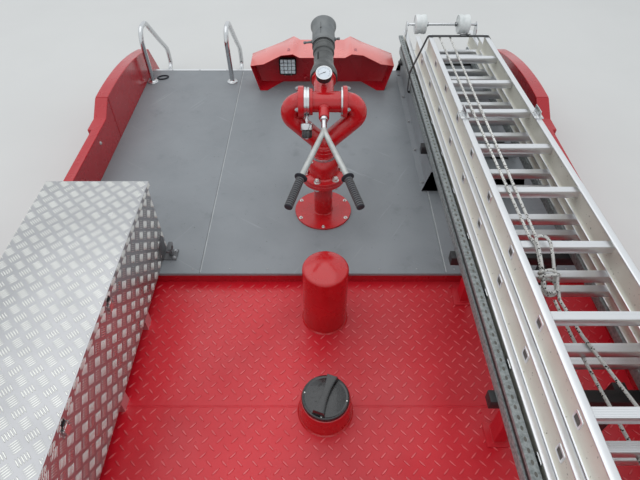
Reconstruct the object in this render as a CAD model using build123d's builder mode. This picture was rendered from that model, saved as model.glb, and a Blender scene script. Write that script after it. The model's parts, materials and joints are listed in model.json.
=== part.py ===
"""Walk-on roof deck of a fire truck's body, with what is carried on it.

Millimetres. +X is the truck's left-to-right across the photo, +Y runs to the truck's rear and +Z is up.
The origin is the middle of the four holes that bolt the deck to the truck, on the underside of the lugs.
The step between the raised grey rear half and the lower red front half lies at Y = 0.
"""
import os
from math import ceil, cos, floor, hypot, radians, sin, tan

from build123d import *

os.makedirs("parts", exist_ok=True)

# Gap between curved faces of different pieces, and between pieces that slide or turn close together
fit_gap = 0.3
running_gap = 1.0
moving_gap = 5.0

# Deck
rear_length = 1853.0
front_length = 1853.0
inner_half_width = 1180.0
deck_top = 160.0
step_height = 58.0
plate = 4.0
seam_gap = 2.0
seam_x = 547.0
weld_y = -594.0
riser_plate = 3.0
trim_plate = 3.0
trim_height = 62.0
trim_lip = 20.0
lip_plate = 1.5
tank_top = deck_top - step_height

# Frame under the plates
rail_x = 380.0
rail_width = 60.0
beam_base = 58.0
beam_width = 40.0
lug_x = 450.0
lug_y = 1600.0
lug_length = 160.0
lug_plate = 12.0
lug_hole = 18.0

# Fairings along both sides
front_fairing_width = 48.0
rear_fairing_width = 70.0
notch_y = 830.0
ramp_start = 935.0
joint_y = 1040.0
fairing_overhang = 140.0
front_fairing_top = 350.0
rear_fairing_top = 420.0
shoulder_overhang = 7.0
fairing_shoulder_z = 305.0
fairing_tail_z = 90.0
crown_slope = 0.04
joint_gap = 3.0

# Lamp cowl, placed from the deck's rear edge: its front face, back wall, cut corners and rear face
cowl_front_gap = 286.0
cowl_back_gap = 167.0
cowl_corner_gap = 115.0
cowl_end_gap = 30.0
cowl_x = 3.0
cowl_sheet = 4.0
cowl_base_half = 410.0
cowl_end_half = 190.0
# Foot plates in the cowl's front corners: distance from the middle at the back wall and at the front
cowl_foot = (262.0, 363.0)
# Half of the top's outline, from its outer end to the flat middle: distance from the middle, height
cowl_top = [(458, 173), (373, 184), (258, 242), (185, 250), (143, 227)]
lamp_size = 112.0
lamp_depth = 46.0
lamp_x = -225.0
lamp_z = 128.0
lamp_corner = 11.0
lamp_neck = 37.0

# Grab rails
rail_tube = 30.0
rail_foot = 70.0
rail_foot_plate = 6.0
grab_side_gap = 40.0
grab_spacing = 537.0
# Centre line from foot to foot: distance behind the deck's rear edge and height above the deck, then the bends
grab_path = [(-171, 6), (-193, 280), (-163, 355), (-53, 352), (157, 140), (287, 15), (297, -124), (9, -124)]
grab_bends = [70, 55, 90, 240, 90, 50]

# Locker
locker_side_gap = 42.0
locker_width = 421.0
locker_front = -1431.0
locker_rear = 169.0
locker_height = 385.0
locker_sheet = 3.0
lid_skirt = 23.0
rim_width = 20.0
hinge_pin = 6.0
hinge_barrel = 11.0
hinge_drop = 33.0
hinge_segment = 90.0
foot_y = [-1300.0, -945.0, -590.0, -235.0]
foot_width = 50.0
latch_y = [-842.0, -420.0]
latch_width = 44.0
latch_height = 52.0
latch_depth = 14.0
clamp_y = 105.0
clamp_width = 62.0
clamp_height = 96.0
clamp_sheet = 6.0

# Tank fittings
dome_x, dome_y = 10.0, -190.0
dome_diameter = 180.0
dome_height = 334.0
dome_crown = 220.0
dome_edge = 14.0
neck_x, neck_y = 9.0, -608.0
neck_base = 195.0
neck_top = 178.0
neck_height = 92.0
neck_bore = 150.0
cap_diameter = 172.0
cap_plate = 16.0
cap_plug = 28.0
cap_bar_length = 150.0
cap_bar_height = 26.0
cap_bar_turn = -20.0

# Monitor
axis_x, axis_y = 5.0, 406.0
base_flange = 277.0
base_plate = 10.0
base_circle = 252.0
base_bolts = 6
base_bolt_hole = 11.0
pipe = 88.9
pipe_wall = 4.0
pipe_flange = 200.0
pipe_circle = 160.0
pipe_bolts = 8
joint_circle = 168.0
joint_bolts = 6
joint_bolt_hole = 14.0
joint_turn = 10.0
pipe_bolt_hole = 18.0
pipe_flange_plate = 18.0
flange_joint_z = 389.0
swivel_z = 530.0
# Body under the swivel, above its flange: diameter and height above the flange's top
swivel_body = [(140, 0), (140, 52), (132, 70), (104, 92), (104, 123)]
hub_diameter = 110.0
hub_height = 48.0
branch_tube = 80.0
branch_half = 141.0
branch_slope = 45.0
branch_bend = 50.0
cross_z = 770.0
cross_tube = 85.0
cross_flange = 127.0
# Across the cross pipe, on its left and right: its end, the bright swivel ring, the curved pipe's flange
cross_end = [-59.0, 69.0]
ring_width = [23.0, 8.5]
branch_flange = [23.0, 18.0]
ring_diameter = 118.0
cross_lip = 108.0
cross_lip_width = 13.0
outlet_tube = 85.0
outlet_length = 135.0
elevation = 13.0
# Nozzle outline along its axis: distance from the cross pipe, diameter
nozzle_base = [(135, 116), (165, 116), (215, 86), (290, 84), (294, 94), (338, 94)]
nozzle_tip = [(338.5, 100), (450, 102), (466, 108), (485, 118)]
nozzle_bore = 50.0
tip_bore = 88.0
gauge_diameter = 66.0
gauge_depth = 32.0
gauge_s = 62.0
gauge_rise = 98.0
gauge_tilt = 12.0
handle_stub = 43.0
handle_stub_end = 92.0
handle_collar = 33.0
collar_length = 14.0
handle_rod = 22.0
handle_bend = 150.0
# The handle's rods: half-width and distance behind the cross pipe, where they start, bend and end
fork = (0.0, 160.0)
bend = (83.0, 380.0)
tip = (130.0, 525.0)
grip_length = 144.0
grip_end_cap = 2.0
grip_diameter = 31.0
grip_bore = 22.6
knob_diameter = 54.0
knob_depth = 30.0
knob_grip = 43.0
knob_grip_depth = 32.0
knob_screw = 12.0
knob_reach = 27.0
knob_drop = 53.6

# Pipe hood beside the ladders
hood_side_gap = 160.0
hood_front = 553.0
hood_height = 128.0
hood_sheet = 3.0
hood_flange = 32.0

# Ladders: their top plane stands ladder_top above the origin at Y = 0 and falls by slope towards the rear
slope = 0.055
ladder_top = 723.0
ladder_side_gap = 412.5
rung_pitch = 280.0
rung_size = 30.0
rung_drop = 14.0
stile_height = 95.0
stile_flange = 38.0
stile_web = 5.0
stile_lip = 6.0
section_drop = 95.3
# The sections from the top one down: width over the stiles, front end, rear end, a rung's centre
section_width = [323.0, 403.0, 483.0]
section_front = [-2190.0, -2150.0, -2120.0]
section_rear = [1312.0, 1530.0, 1880.0]
section_rung = [-357.0, -394.0, -373.0]
rack_tube = 41.0
rack_wall = 2.5
rack_front = -1820.0
rack_rear = 1840.0
support_y = [-1600.0, -700.0, -90.0, 700.0, 1700.0]
support_x = 150.0
support_post = 60.0
support_foot = 90.0
support_reach = 262.0
foot_sheet = 6.0
roller_y = 1782.0
roller_diameter = 116.0
roller_width = 70.0
roller_x = 137.0
roller_lift = 75.0
roller_plate = 60.0
axle = 16.0
bracket_y = 417.0
bracket_length = 64.0
bracket_height = 34.0
bracket_sheet = 4.0
strap_y = 1268.0
strap_width = 25.0
strap_plate = 2.5
strap_slack = 0.3
halyard = 10.0
line_rear = 1290.0
line_x = [(-114.0, -112.0), (-98.0, -86.0)]
hank_left = -119.5
hank_width = 60.0
hank_rear_y = -338.0
hank_front_y = -520.0
hank_rise = 16.0
hank_crest_y = -385.0
hank_tip = [-66.0, -100.0]
hank_inner = -48.0
# Tails: where they leave the hank (across, up), and their route over or under the middle rungs (across, along)
tail_gap = 2.6
tail_start = [(-66.0, -85.0), (-80.0, -88.0)]
tail_over = [(-36.0, -640.0), (40.0, -938.0)]
tail_under = [(-40.0, -650.0), (10.0, -1218.0)]

# Places that follow from the dimensions above
deck_length = front_length + rear_length
cowl_y, cowl_back_y, cowl_corner_y, cowl_end_y = [
    rear_length - gap for gap in (cowl_front_gap, cowl_back_gap, cowl_corner_gap, cowl_end_gap)
]
fairing_end = rear_length + fairing_overhang
fairing_shoulder_y = rear_length + shoulder_overhang
side_beam_x = inner_half_width - beam_width / 2
low_beam_height = tank_top - plate - beam_base
high_beam_height = deck_top - plate - beam_base
low_cross_y = [-front_length + beam_width / 2, -1300.0, -800.0, -400.0, -beam_width / 2]
high_cross_y = [beam_width / 2, 640.0, 1250.0, rear_length - beam_width / 2]
FLOOR = (Align.CENTER, Align.CENTER, Align.MIN)
ALONG = (Align.CENTER, Align.MIN, Align.MIN)
bore_gap = 0.4


def save(piece, label):
    """Name a finished piece and write it."""
    piece.part.label = label
    export_step(piece.part, f"parts/{label}.step")


def side_outline(points):
    """Closed face in the current sketch from (y, z) points."""
    with BuildLine() as outline:
        Polyline(*points, close=True)
    make_face(outline.edges())


# Frame: two deep rails with bolting lugs, edge beams and cross beams, all flush under the plates
with BuildPart() as deck_frame:
    with Locations((-rail_x, -front_length, 0), (rail_x, -front_length, 0)):
        Box(rail_width, deck_length, tank_top - plate, align=ALONG)
    with Locations((-rail_x, 0, 0), (rail_x, 0, 0)):
        Box(rail_width, rear_length, deck_top - plate, align=ALONG)
    with Locations((-side_beam_x, -front_length, beam_base), (side_beam_x, -front_length, beam_base)):
        Box(beam_width, deck_length, low_beam_height, align=ALONG)
    with Locations((-side_beam_x, 0, beam_base), (side_beam_x, 0, beam_base)):
        Box(beam_width, rear_length, high_beam_height, align=ALONG)
    with Locations([(0, y, beam_base) for y in low_cross_y]):
        Box(2 * inner_half_width, beam_width, low_beam_height, align=FLOOR)
    with Locations([(0, y, beam_base) for y in high_cross_y]):
        Box(2 * inner_half_width, beam_width, high_beam_height, align=FLOOR)
    lug_width = 2 * (lug_x - rail_x - rail_width / 2)
    with Locations([(side * lug_x, end * lug_y, 0) for side in (-1, 1) for end in (-1, 1)]):
        Box(lug_width, lug_length, lug_plate, align=FLOOR)
        Hole(lug_hole / 2)
save(deck_frame, "deck_frame")

# Red tank plates, butted at the weld seam, with the filler's bore through both
tank_spans = [("tank_plate_front", -front_length, weld_y), ("tank_plate_rear", weld_y, 0.0)]
for label, start, end in tank_spans:
    with BuildPart() as tank_plate:
        with BuildSketch(Plane.XY.offset(tank_top - plate)):
            with Locations((0, start)):
                Rectangle(2 * inner_half_width, end - start, align=(Align.CENTER, Align.MIN))
            with Locations((neck_x, neck_y)):
                Circle(neck_bore / 2, mode=Mode.SUBTRACT)
        extrude(amount=plate)
    save(tank_plate, label)

# Step between the two levels
with BuildPart() as step_riser:
    with Locations((0, -riser_plate / 2, tank_top)):
        Box(2 * inner_half_width, riser_plate, step_height - plate, align=FLOOR)
save(step_riser, "step_riser")

# Grey plates: the middle one has the hole that the monitor's pipe passes
edge_x = [-inner_half_width, -seam_x, seam_x, inner_half_width]
for label, left, right in zip(("left", "middle", "right"), edge_x[:-1], edge_x[1:]):
    with BuildPart() as deck_plate:
        with BuildSketch(Plane.XY.offset(deck_top - plate)):
            with Locations(((left + right) / 2, -riser_plate)):
                Rectangle(right - left - seam_gap, rear_length + riser_plate, align=(Align.CENTER, Align.MIN))
            if left < axis_x < right:
                with Locations((axis_x, axis_y)):
                    Circle(pipe / 2 + 2 * running_gap, mode=Mode.SUBTRACT)
        extrude(amount=plate)
    save(deck_plate, f"deck_plate_{label}")

# Bright angle along the rear edge
with BuildPart() as rear_trim:
    with Locations((0, rear_length, deck_top - trim_height)):
        Box(2 * inner_half_width, trim_plate, trim_height, align=ALONG)
    with Locations((0, rear_length + trim_plate, deck_top)):
        Box(2 * inner_half_width, trim_lip, lip_plate, align=(Align.CENTER, Align.MAX, Align.MIN))
save(rear_trim, "rear_trim")

# Side fairings: a low front length with a ramp, and a higher curved rear length
for label, side in (("left", -1), ("right", 1)):
    with BuildPart() as fairing:
        with BuildSketch(Plane.YZ.offset(side * inner_half_width)):
            side_outline([
                (-front_length, 0), (notch_y, 0), (notch_y, front_fairing_top), (-front_length, front_fairing_top),
            ])
        extrude(amount=side * front_fairing_width)
        with BuildSketch(Plane.YZ.offset(side * inner_half_width)):
            side_outline([
                (notch_y, 0), (joint_y - joint_gap, 0), (joint_y - joint_gap, rear_fairing_top),
                (ramp_start, front_fairing_top), (notch_y, front_fairing_top),
            ])
        extrude(amount=side * rear_fairing_width)
    save(fairing, f"side_fairing_{label}")

    with BuildPart() as rear_fairing:
        with BuildSketch(Plane.YZ.offset(side * inner_half_width)):
            with BuildLine():
                crown = (joint_y, rear_fairing_top)
                shoulder = (fairing_shoulder_y, fairing_shoulder_z)
                TangentArc(crown, shoulder, tangent=(1, crown_slope))
                Polyline(shoulder, (fairing_end, fairing_tail_z), (fairing_end, 0), (joint_y, 0), crown)
            make_face()
        extrude(amount=side * rear_fairing_width)
    save(rear_fairing, f"rear_fairing_{label}")

# Lamp cowl: a sheet hood with raised shoulders, open to the front, round a slanted recess
cowl_outline = [(-cowl_base_half, 0)] + [(-x, z) for x, z in cowl_top]
cowl_outline += [(x, z) for x, z in reversed(cowl_top)] + [(cowl_base_half, 0)]
cowl_height = 2 * cowl_top[2][1]
cowl_plane = Plane(origin=(cowl_x, cowl_y, deck_top), x_dir=(1, 0, 0), z_dir=(0, -1, 0))
with BuildSketch(cowl_plane) as cowl_face:
    with BuildLine():
        Polyline(*cowl_outline, close=True)
    make_face()
with BuildPart() as cowl_recess:
    with BuildSketch(cowl_plane):
        offset(cowl_face.sketch_local, amount=-cowl_sheet)
        Rectangle(2 * (cowl_base_half - cowl_sheet), cowl_sheet, align=(Align.CENTER, Align.MIN))
    extrude(amount=cowl_y - cowl_back_y)
with BuildPart() as lamp_cowl:
    with BuildSketch(cowl_plane):
        add(cowl_face.sketch_local)
    extrude(amount=cowl_y - cowl_end_y)
    add(cowl_recess.part, mode=Mode.SUBTRACT)
    with Locations((cowl_x, cowl_back_y + cowl_sheet, deck_top)):
        Box(
            2 * (cowl_end_half - cowl_sheet), cowl_end_y - cowl_back_y - 2 * cowl_sheet, cowl_top[-1][1] - cowl_sheet,
            align=(Align.CENTER, Align.MIN, Align.MIN), mode=Mode.SUBTRACT,
        )
    for side in (-1, 1):
        cut_x = cowl_x + side * (cowl_top[0][0] + cowl_sheet)
        with BuildSketch(Plane.XY.offset(deck_top)):
            with BuildLine():
                Polyline(
                    (cut_x, cowl_corner_y), (cowl_x + side * cowl_end_half, cowl_end_y), (cut_x, cowl_end_y),
                    close=True,
                )
            make_face()
        extrude(amount=cowl_height, mode=Mode.SUBTRACT)
    for side in (-1, 1):
        foot_back, foot_front, foot_end = [cowl_x + side * x for x in (*cowl_foot, cowl_base_half - cowl_sheet)]
        with BuildSketch(Plane.XY.offset(deck_top)):
            with BuildLine():
                Polyline(
                    (foot_front, cowl_y), (foot_end, cowl_y), (foot_end, cowl_back_y), (foot_back, cowl_back_y),
                    close=True,
                )
            make_face()
        extrude(amount=cowl_sheet)
save(lamp_cowl, "lamp_cowl")

# Work lamp on the cowl's back wall
lamp_plane = Plane(origin=(cowl_x + lamp_x, cowl_back_y - lamp_depth, deck_top + lamp_z), z_dir=(0, -1, 0))
with BuildPart() as work_lamp:
    with BuildSketch(lamp_plane):
        RectangleRounded(lamp_size, lamp_size, lamp_corner)
    extrude(amount=-lamp_depth / 2)
    with BuildSketch(lamp_plane.offset(-lamp_depth / 2)):
        Rectangle(lamp_neck, lamp_neck)
    extrude(amount=-lamp_depth / 2)
save(work_lamp, "work_lamp")

# Grab rails: from a foot on the deck over an arch, down behind the body and back to its rear beam
grab_left = grab_side_gap - inner_half_width
for label, x in (("left", grab_left), ("right", grab_left + grab_spacing)):
    with BuildPart() as grab_rail:
        with BuildLine() as path:
            FilletPolyline(*[(x, rear_length + y, deck_top + z) for y, z in grab_path], radius=grab_bends)
        with BuildSketch(Plane(origin=path.line @ 0, z_dir=path.line % 0)):
            Circle(rail_tube / 2)
        sweep()
        with Locations((x, rear_length + grab_path[0][0], deck_top)):
            Cylinder(rail_foot / 2, rail_foot_plate + rail_tube / 4, align=FLOOR)
        with Locations(Plane(origin=(x, rear_length + trim_plate, deck_top + grab_path[-1][1]), z_dir=(0, 1, 0))):
            Cylinder(rail_foot / 2, rail_foot_plate + rail_tube / 4, align=FLOOR)
    save(grab_rail, f"grab_rail_{label}")

# Locker: an open box with a rim, a folded lid, a pinned hinge on the outer side, feet and latches
locker_length = locker_rear - locker_front
locker_y = (locker_rear + locker_front) / 2
locker_left = locker_side_gap - inner_half_width
locker_right = locker_left + locker_width
locker_x = (locker_left + locker_right) / 2
locker_top = deck_top + locker_height
wall_inset = locker_sheet + moving_gap
box_width = locker_width - 2 * wall_inset
box_length = locker_length - 2 * wall_inset
rim_top = locker_top - locker_sheet - fit_gap
with BuildPart() as locker_box:
    with Locations((locker_x, locker_y, deck_top)):
        Box(box_width, box_length, rim_top - deck_top, align=FLOOR)
    with Locations((locker_x, locker_y, deck_top + locker_sheet)):
        Box(
            box_width - 2 * locker_sheet, box_length - 2 * locker_sheet, rim_top - deck_top - 2 * locker_sheet,
            align=FLOOR, mode=Mode.SUBTRACT,
        )
    with Locations((locker_x, locker_y, rim_top)):
        Box(
            box_width - 2 * rim_width, box_length - 2 * rim_width, 2 * locker_sheet,
            align=(Align.CENTER, Align.CENTER, Align.MAX), mode=Mode.SUBTRACT,
        )
save(locker_box, "locker_box")

hinge_x = locker_left - hinge_barrel / 2 + locker_sheet / 2
hinge_z = locker_top - hinge_drop
skirt_bottom = locker_top - lid_skirt
segment_count = int(locker_length / hinge_segment) - 1
segment_y = [locker_y + (i - (segment_count - 1) / 2) * hinge_segment for i in range(segment_count)]
along_y = Plane(origin=(hinge_x, 0, hinge_z), z_dir=(0, 1, 0))
with BuildPart() as locker_lid:
    with Locations((locker_x, locker_y, skirt_bottom)):
        Box(locker_width, locker_length, lid_skirt, align=FLOOR)
        Box(
            locker_width - 2 * locker_sheet, locker_length - 2 * locker_sheet, lid_skirt - locker_sheet,
            align=FLOOR, mode=Mode.SUBTRACT,
        )
    for y in segment_y[0::2]:
        with Locations((locker_left, y, hinge_z)):
            Box(
                locker_sheet, hinge_segment - running_gap, skirt_bottom - hinge_z,
                align=(Align.MIN, Align.CENTER, Align.MIN),
            )
        with Locations(along_y.offset(y - (hinge_segment - running_gap) / 2)):
            Cylinder(hinge_barrel / 2, hinge_segment - running_gap, align=FLOOR)
    with Locations(along_y.offset(locker_front)):
        Cylinder(hinge_pin / 2 + bore_gap, locker_length, align=FLOOR, mode=Mode.SUBTRACT)
save(locker_lid, "locker_lid")

box_left = locker_left + wall_inset
with BuildPart() as locker_hinge:
    with Locations((box_left, locker_y, hinge_z)):
        Box(locker_sheet, locker_length - 4 * wall_inset, hinge_drop, align=(Align.MAX, Align.CENTER, Align.MAX))
    for y in segment_y[1::2]:
        with Locations((hinge_x, y, hinge_z - hinge_barrel / 2)):
            Box(
                box_left - hinge_x, hinge_segment - running_gap, locker_sheet,
                align=(Align.MIN, Align.CENTER, Align.MIN),
            )
        with Locations(along_y.offset(y - (hinge_segment - running_gap) / 2)):
            Cylinder(hinge_barrel / 2, hinge_segment - running_gap, align=FLOOR)
    pin_length = segment_count * hinge_segment
    with Locations(along_y.offset(locker_y - pin_length / 2)):
        Cylinder(hinge_pin / 2, pin_length, align=FLOOR)
save(locker_hinge, "locker_hinge")

with BuildPart() as locker_feet:
    with Locations([(locker_x, y, tank_top) for y in foot_y]):
        Box(box_width, foot_width, step_height, align=FLOOR)
save(locker_feet, "locker_feet")

box_right = locker_right - wall_inset
with BuildPart() as locker_latches:
    with Locations([(box_right, y, skirt_bottom - running_gap) for y in latch_y]):
        Box(latch_depth, latch_width, latch_height, align=(Align.MIN, Align.CENTER, Align.MAX))
save(locker_latches, "locker_latches")

with BuildPart() as latch_keepers:
    with Locations([(locker_right, y, skirt_bottom + running_gap) for y in latch_y]):
        Box(latch_depth / 2, latch_width / 2, latch_height / 4, align=(Align.MIN, Align.CENTER, Align.MIN))
save(latch_keepers, "latch_keepers")

# Clamp that holds the locker's rear end down to the raised deck
with BuildPart() as locker_clamp:
    with BuildSketch(Plane.XZ.offset(-clamp_y - clamp_width / 2)):
        with Locations((box_right, deck_top)):
            Rectangle(clamp_sheet, clamp_height, align=(Align.MIN, Align.MIN))
            Rectangle(clamp_width, clamp_sheet, align=(Align.MIN, Align.MIN))
    extrude(amount=clamp_width)
    with Locations((box_right + clamp_width / 2 + clamp_sheet / 2, clamp_y, deck_top + clamp_sheet)):
        Cylinder(clamp_sheet, clamp_height / 2, align=FLOOR)
    with Locations((box_right + clamp_width / 2 + clamp_sheet / 2, clamp_y, deck_top + clamp_height / 2)):
        Box(clamp_width / 3, clamp_width, 2 * clamp_sheet, align=FLOOR)
save(locker_clamp, "locker_clamp")

# Vent dome: a pipe with a shallow dished end
with BuildPart() as vent_dome:
    with Locations((dome_x, dome_y, tank_top)):
        Cylinder(dome_diameter / 2, dome_height, align=FLOOR)
    with Locations((dome_x, dome_y, tank_top + dome_height - dome_crown)):
        Sphere(dome_crown, mode=Mode.INTERSECT)
    dome_rim = vent_dome.faces().filter_by(GeomType.CYLINDER).edges().filter_by(GeomType.CIRCLE)
    fillet(dome_rim.sort_by(Axis.Z)[-1], radius=dome_edge)
save(vent_dome, "vent_dome")

# Filler neck and its cap
with BuildPart() as filler_neck:
    with Locations((neck_x, neck_y, tank_top)):
        Cone(neck_base / 2, neck_top / 2, neck_height, align=FLOOR)
        Cylinder(neck_bore / 2, neck_height, align=FLOOR, mode=Mode.SUBTRACT)
save(filler_neck, "filler_neck")

cap_z = tank_top + neck_height + fit_gap
with BuildPart() as filler_cap:
    with Locations((neck_x, neck_y, cap_z)):
        Cylinder(cap_diameter / 2, cap_plate, align=FLOOR)
    with Locations((neck_x, neck_y, cap_z)):
        Cylinder(neck_bore / 2 - running_gap, cap_plug, align=(Align.CENTER, Align.CENTER, Align.MAX))
    with Locations(Location((neck_x, neck_y, cap_z + cap_plate), (0, 0, cap_bar_turn))):
        Box(cap_bar_height, cap_bar_length, cap_bar_height, align=FLOOR)
save(filler_cap, "filler_cap")

# Monitor, fixed part: inlet pipe with three flanges, and the body under the swivel
pedestal_top = flange_joint_z
with BuildPart() as monitor_pedestal:
    with Locations((axis_x, axis_y, deck_top)):
        Cylinder(base_flange / 2, base_plate, align=FLOOR)
        with PolarLocations(base_circle / 2, base_bolts, start_angle=-90):
            Cylinder(base_bolt_hole / 2, base_plate, align=FLOOR, mode=Mode.SUBTRACT)
    pipe_ends = [
        (0, pipe_circle, pipe_bolts, pipe_bolt_hole, 180 / pipe_bolts),
        (pedestal_top - pipe_flange_plate, joint_circle, joint_bolts, joint_bolt_hole, joint_turn),
    ]
    for z, circle, bolts, hole, turn in pipe_ends:
        with Locations((axis_x, axis_y, z)):
            Cylinder(pipe_flange / 2, pipe_flange_plate, align=FLOOR)
            with PolarLocations(circle / 2, bolts, start_angle=turn):
                Cylinder(hole / 2, pipe_flange_plate, align=FLOOR, mode=Mode.SUBTRACT)
    with Locations((axis_x, axis_y, 0)):
        Cylinder(pipe / 2, pedestal_top, align=FLOOR)
        Cylinder(pipe / 2 - pipe_wall, pedestal_top, align=FLOOR, mode=Mode.SUBTRACT)
save(monitor_pedestal, "monitor_pedestal")

with BuildPart() as monitor_base:
    with BuildSketch(Plane.XZ.offset(-axis_y)):
        with BuildLine():
            body = [(axis_x + d / 2, pedestal_top + pipe_flange_plate + z) for d, z in swivel_body]
            body[-1] = (body[-1][0], swivel_z - fit_gap)
            Polyline((axis_x, body[0][1]), *body, (axis_x, body[-1][1]), close=True)
        make_face()
    revolve(axis=Axis((axis_x, axis_y, 0), (0, 0, 1)))
    with Locations((axis_x, axis_y, pedestal_top)):
        Cylinder(pipe_flange / 2, pipe_flange_plate, align=FLOOR)
        with PolarLocations(joint_circle / 2, joint_bolts, start_angle=joint_turn):
            Cylinder(joint_bolt_hole / 2, pipe_flange_plate, align=FLOOR, mode=Mode.SUBTRACT)
save(monitor_base, "monitor_base")

# Monitor, turning part: swivel hub and the pair of pipes that rise from it like a Y and curve in to the cross pipe
climb = radians(branch_slope)
arc_x = branch_half - branch_bend
arc_z = cross_z - branch_bend
arc_start = (arc_x + branch_bend * sin(climb), arc_z - branch_bend * cos(climb))
crotch_z = arc_start[1] - arc_start[0] * tan(climb)
flange_x = [cross_end[0] - ring_width[0], cross_end[1] + ring_width[1]]
with BuildPart() as branch_pipes:
    for side, face_x, thickness in zip((-1, 1), flange_x, branch_flange):
        with BuildLine(Plane(origin=(axis_x, axis_y, 0), x_dir=(side, 0, 0), z_dir=(0, -side, 0))) as path:
            Line((0, crotch_z), arc_start)
            CenterArc((arc_x, arc_z), branch_bend, -branch_slope, 90 + branch_slope)
            Line((arc_x, cross_z), (side * face_x, cross_z))
        with BuildSketch(Plane(origin=path.line @ 0, z_dir=path.line % 0)):
            Circle(branch_tube / 2)
        sweep(path=path.line)
        with Locations(Plane(origin=(axis_x + face_x, axis_y, cross_z), z_dir=(side, 0, 0))):
            Cylinder(cross_flange / 2, thickness, align=FLOOR)
    split(bisect_by=Plane.XY.offset(swivel_z), keep=Keep.TOP)
    with Locations((axis_x, axis_y, swivel_z)):
        Cylinder(hub_diameter / 2, hub_height, align=FLOOR)
save(branch_pipes, "branch_pipes")

# Bright rings between the curved pipes' flanges and the cross pipe, round the joint that tilts
with BuildPart() as swivel_rings:
    for side, face_x, width in zip((1, -1), flange_x, ring_width):
        with Locations(Plane(origin=(axis_x + face_x, axis_y, cross_z), z_dir=(side, 0, 0))):
            Cylinder(ring_diameter / 2, width - fit_gap, align=FLOOR)
save(swivel_rings, "swivel_rings")

# Knob that locks the tilt, screwed into the left ring from below its front
knob_x = axis_x + flange_x[0] + ring_width[0] / 2
down = radians(knob_drop)
knob_axis = Plane(origin=(knob_x, axis_y, cross_z), x_dir=(1, 0, 0), z_dir=(0, -cos(down), -sin(down)))
knob_plane = knob_axis.offset(ring_diameter / 2 + fit_gap)
with BuildPart() as lock_knob:
    with Locations(knob_plane):
        Cylinder(knob_screw / 2, knob_reach, align=FLOOR)
    with Locations(knob_plane.offset(knob_reach)):
        Cylinder(knob_diameter / 2, knob_depth, align=FLOOR)
    with Locations(knob_plane.offset(knob_reach + knob_depth)):
        Cylinder(knob_grip / 2, knob_grip_depth, align=FLOOR)
save(lock_knob, "lock_knob")

# Monitor, tilting part: cross pipe with outlet, gauge, nozzle and aiming handle, drawn along the outlet's axis
rise = radians(elevation)
aim = Plane(origin=(axis_x, axis_y, cross_z), x_dir=(-1, 0, 0), z_dir=(0, cos(rise), sin(rise)))
with BuildPart() as cross_pipe:
    with Locations(Plane(origin=(axis_x + cross_end[0], axis_y, cross_z), z_dir=(1, 0, 0))):
        Cylinder(cross_tube / 2, cross_end[1] - cross_end[0], align=FLOOR)
        Cylinder(cross_lip / 2, cross_lip_width, align=FLOOR)
    with Locations(aim):
        Cylinder(outlet_tube / 2, outlet_length, align=FLOOR)
        Cylinder(handle_stub / 2, handle_stub_end, align=(Align.CENTER, Align.CENTER, Align.MAX))
save(cross_pipe, "cross_pipe")


def turned(outline, bore):
    """Round piece along the aiming axis from (distance, diameter) pairs, with a bore."""
    profile = [(bore / 2, outline[0][0])] + [(d / 2, s) for s, d in outline] + [(bore / 2, outline[-1][0])]
    with BuildSketch(Plane(origin=aim.origin, x_dir=aim.x_dir, z_dir=-aim.y_dir)) as section:
        with BuildLine():
            Polyline(*profile, close=True)
        make_face()
    revolve(section.sketch, axis=Axis(aim.origin, aim.z_dir))


with BuildPart() as nozzle_body:
    turned(nozzle_base, nozzle_bore)
save(nozzle_body, "nozzle_body")

with BuildPart() as nozzle_sleeve:
    turned(nozzle_tip, tip_bore)
save(nozzle_sleeve, "nozzle_sleeve")

gauge_stem = gauge_depth / 4
stem_length = (
    gauge_rise - outlet_tube / 2 - fit_gap - gauge_stem * sin(radians(gauge_tilt))
) / cos(radians(gauge_tilt)) - gauge_depth
gauge_plane = Plane(
    origin=aim.from_local_coords((0, gauge_rise, gauge_s)),
    z_dir=(0, -sin(rise + radians(gauge_tilt)), cos(rise + radians(gauge_tilt))),
)
with BuildPart() as pressure_gauge:
    with Locations(gauge_plane.offset(-gauge_depth)):
        Cylinder(gauge_diameter / 2, gauge_depth, align=FLOOR)
    with Locations(gauge_plane.offset(-gauge_depth)):
        Cylinder(gauge_stem, stem_length, align=(Align.CENTER, Align.CENTER, Align.MAX))
save(pressure_gauge, "pressure_gauge")


def strut(start, end, diameter, bore=0.0):
    """Round bar between two points given as (half-width, distance behind the cross pipe)."""
    base, top = [aim.from_local_coords((across, 0, -behind)) for across, behind in (start, end)]
    with Locations(Plane(origin=base, z_dir=top - base)):
        Cylinder(diameter / 2, (top - base).length, align=FLOOR)
        if bore:
            Cylinder(bore / 2, (top - base).length, align=FLOOR, mode=Mode.SUBTRACT)


# Aiming handle: a collar and neck on the stub, then two rods that spread and bend outwards at the grips
collar_start = handle_stub_end + fit_gap
with BuildPart() as aiming_handle:
    strut((0.0, collar_start), (0.0, collar_start + collar_length), handle_collar)
    strut((0.0, collar_start), fork, handle_rod)
    for side in (-1, 1):
        with BuildLine() as rod:
            FilletPolyline(
                *[aim.from_local_coords((side * across, 0, -behind)) for across, behind in (fork, bend, tip)],
                radius=handle_bend,
            )
        with BuildSketch(Plane(origin=rod.line @ 0, z_dir=rod.line % 0)):
            Circle(handle_rod / 2)
        sweep(path=rod.line)
save(aiming_handle, "aiming_handle")

# Grips, pushed over the rods' ends
rod_length = hypot(tip[0] - bend[0], tip[1] - bend[1])
grip_start, grip_end = [
    [end + (end - start) * reach / rod_length for start, end in zip(bend, tip)]
    for reach in (grip_end_cap - grip_length, grip_end_cap)
]
with BuildPart() as handle_grips:
    for side in (-1, 1):
        strut((side * grip_start[0], grip_start[1]), (side * grip_end[0], grip_end[1]), grip_diameter, grip_bore)
save(handle_grips, "handle_grips")

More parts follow.
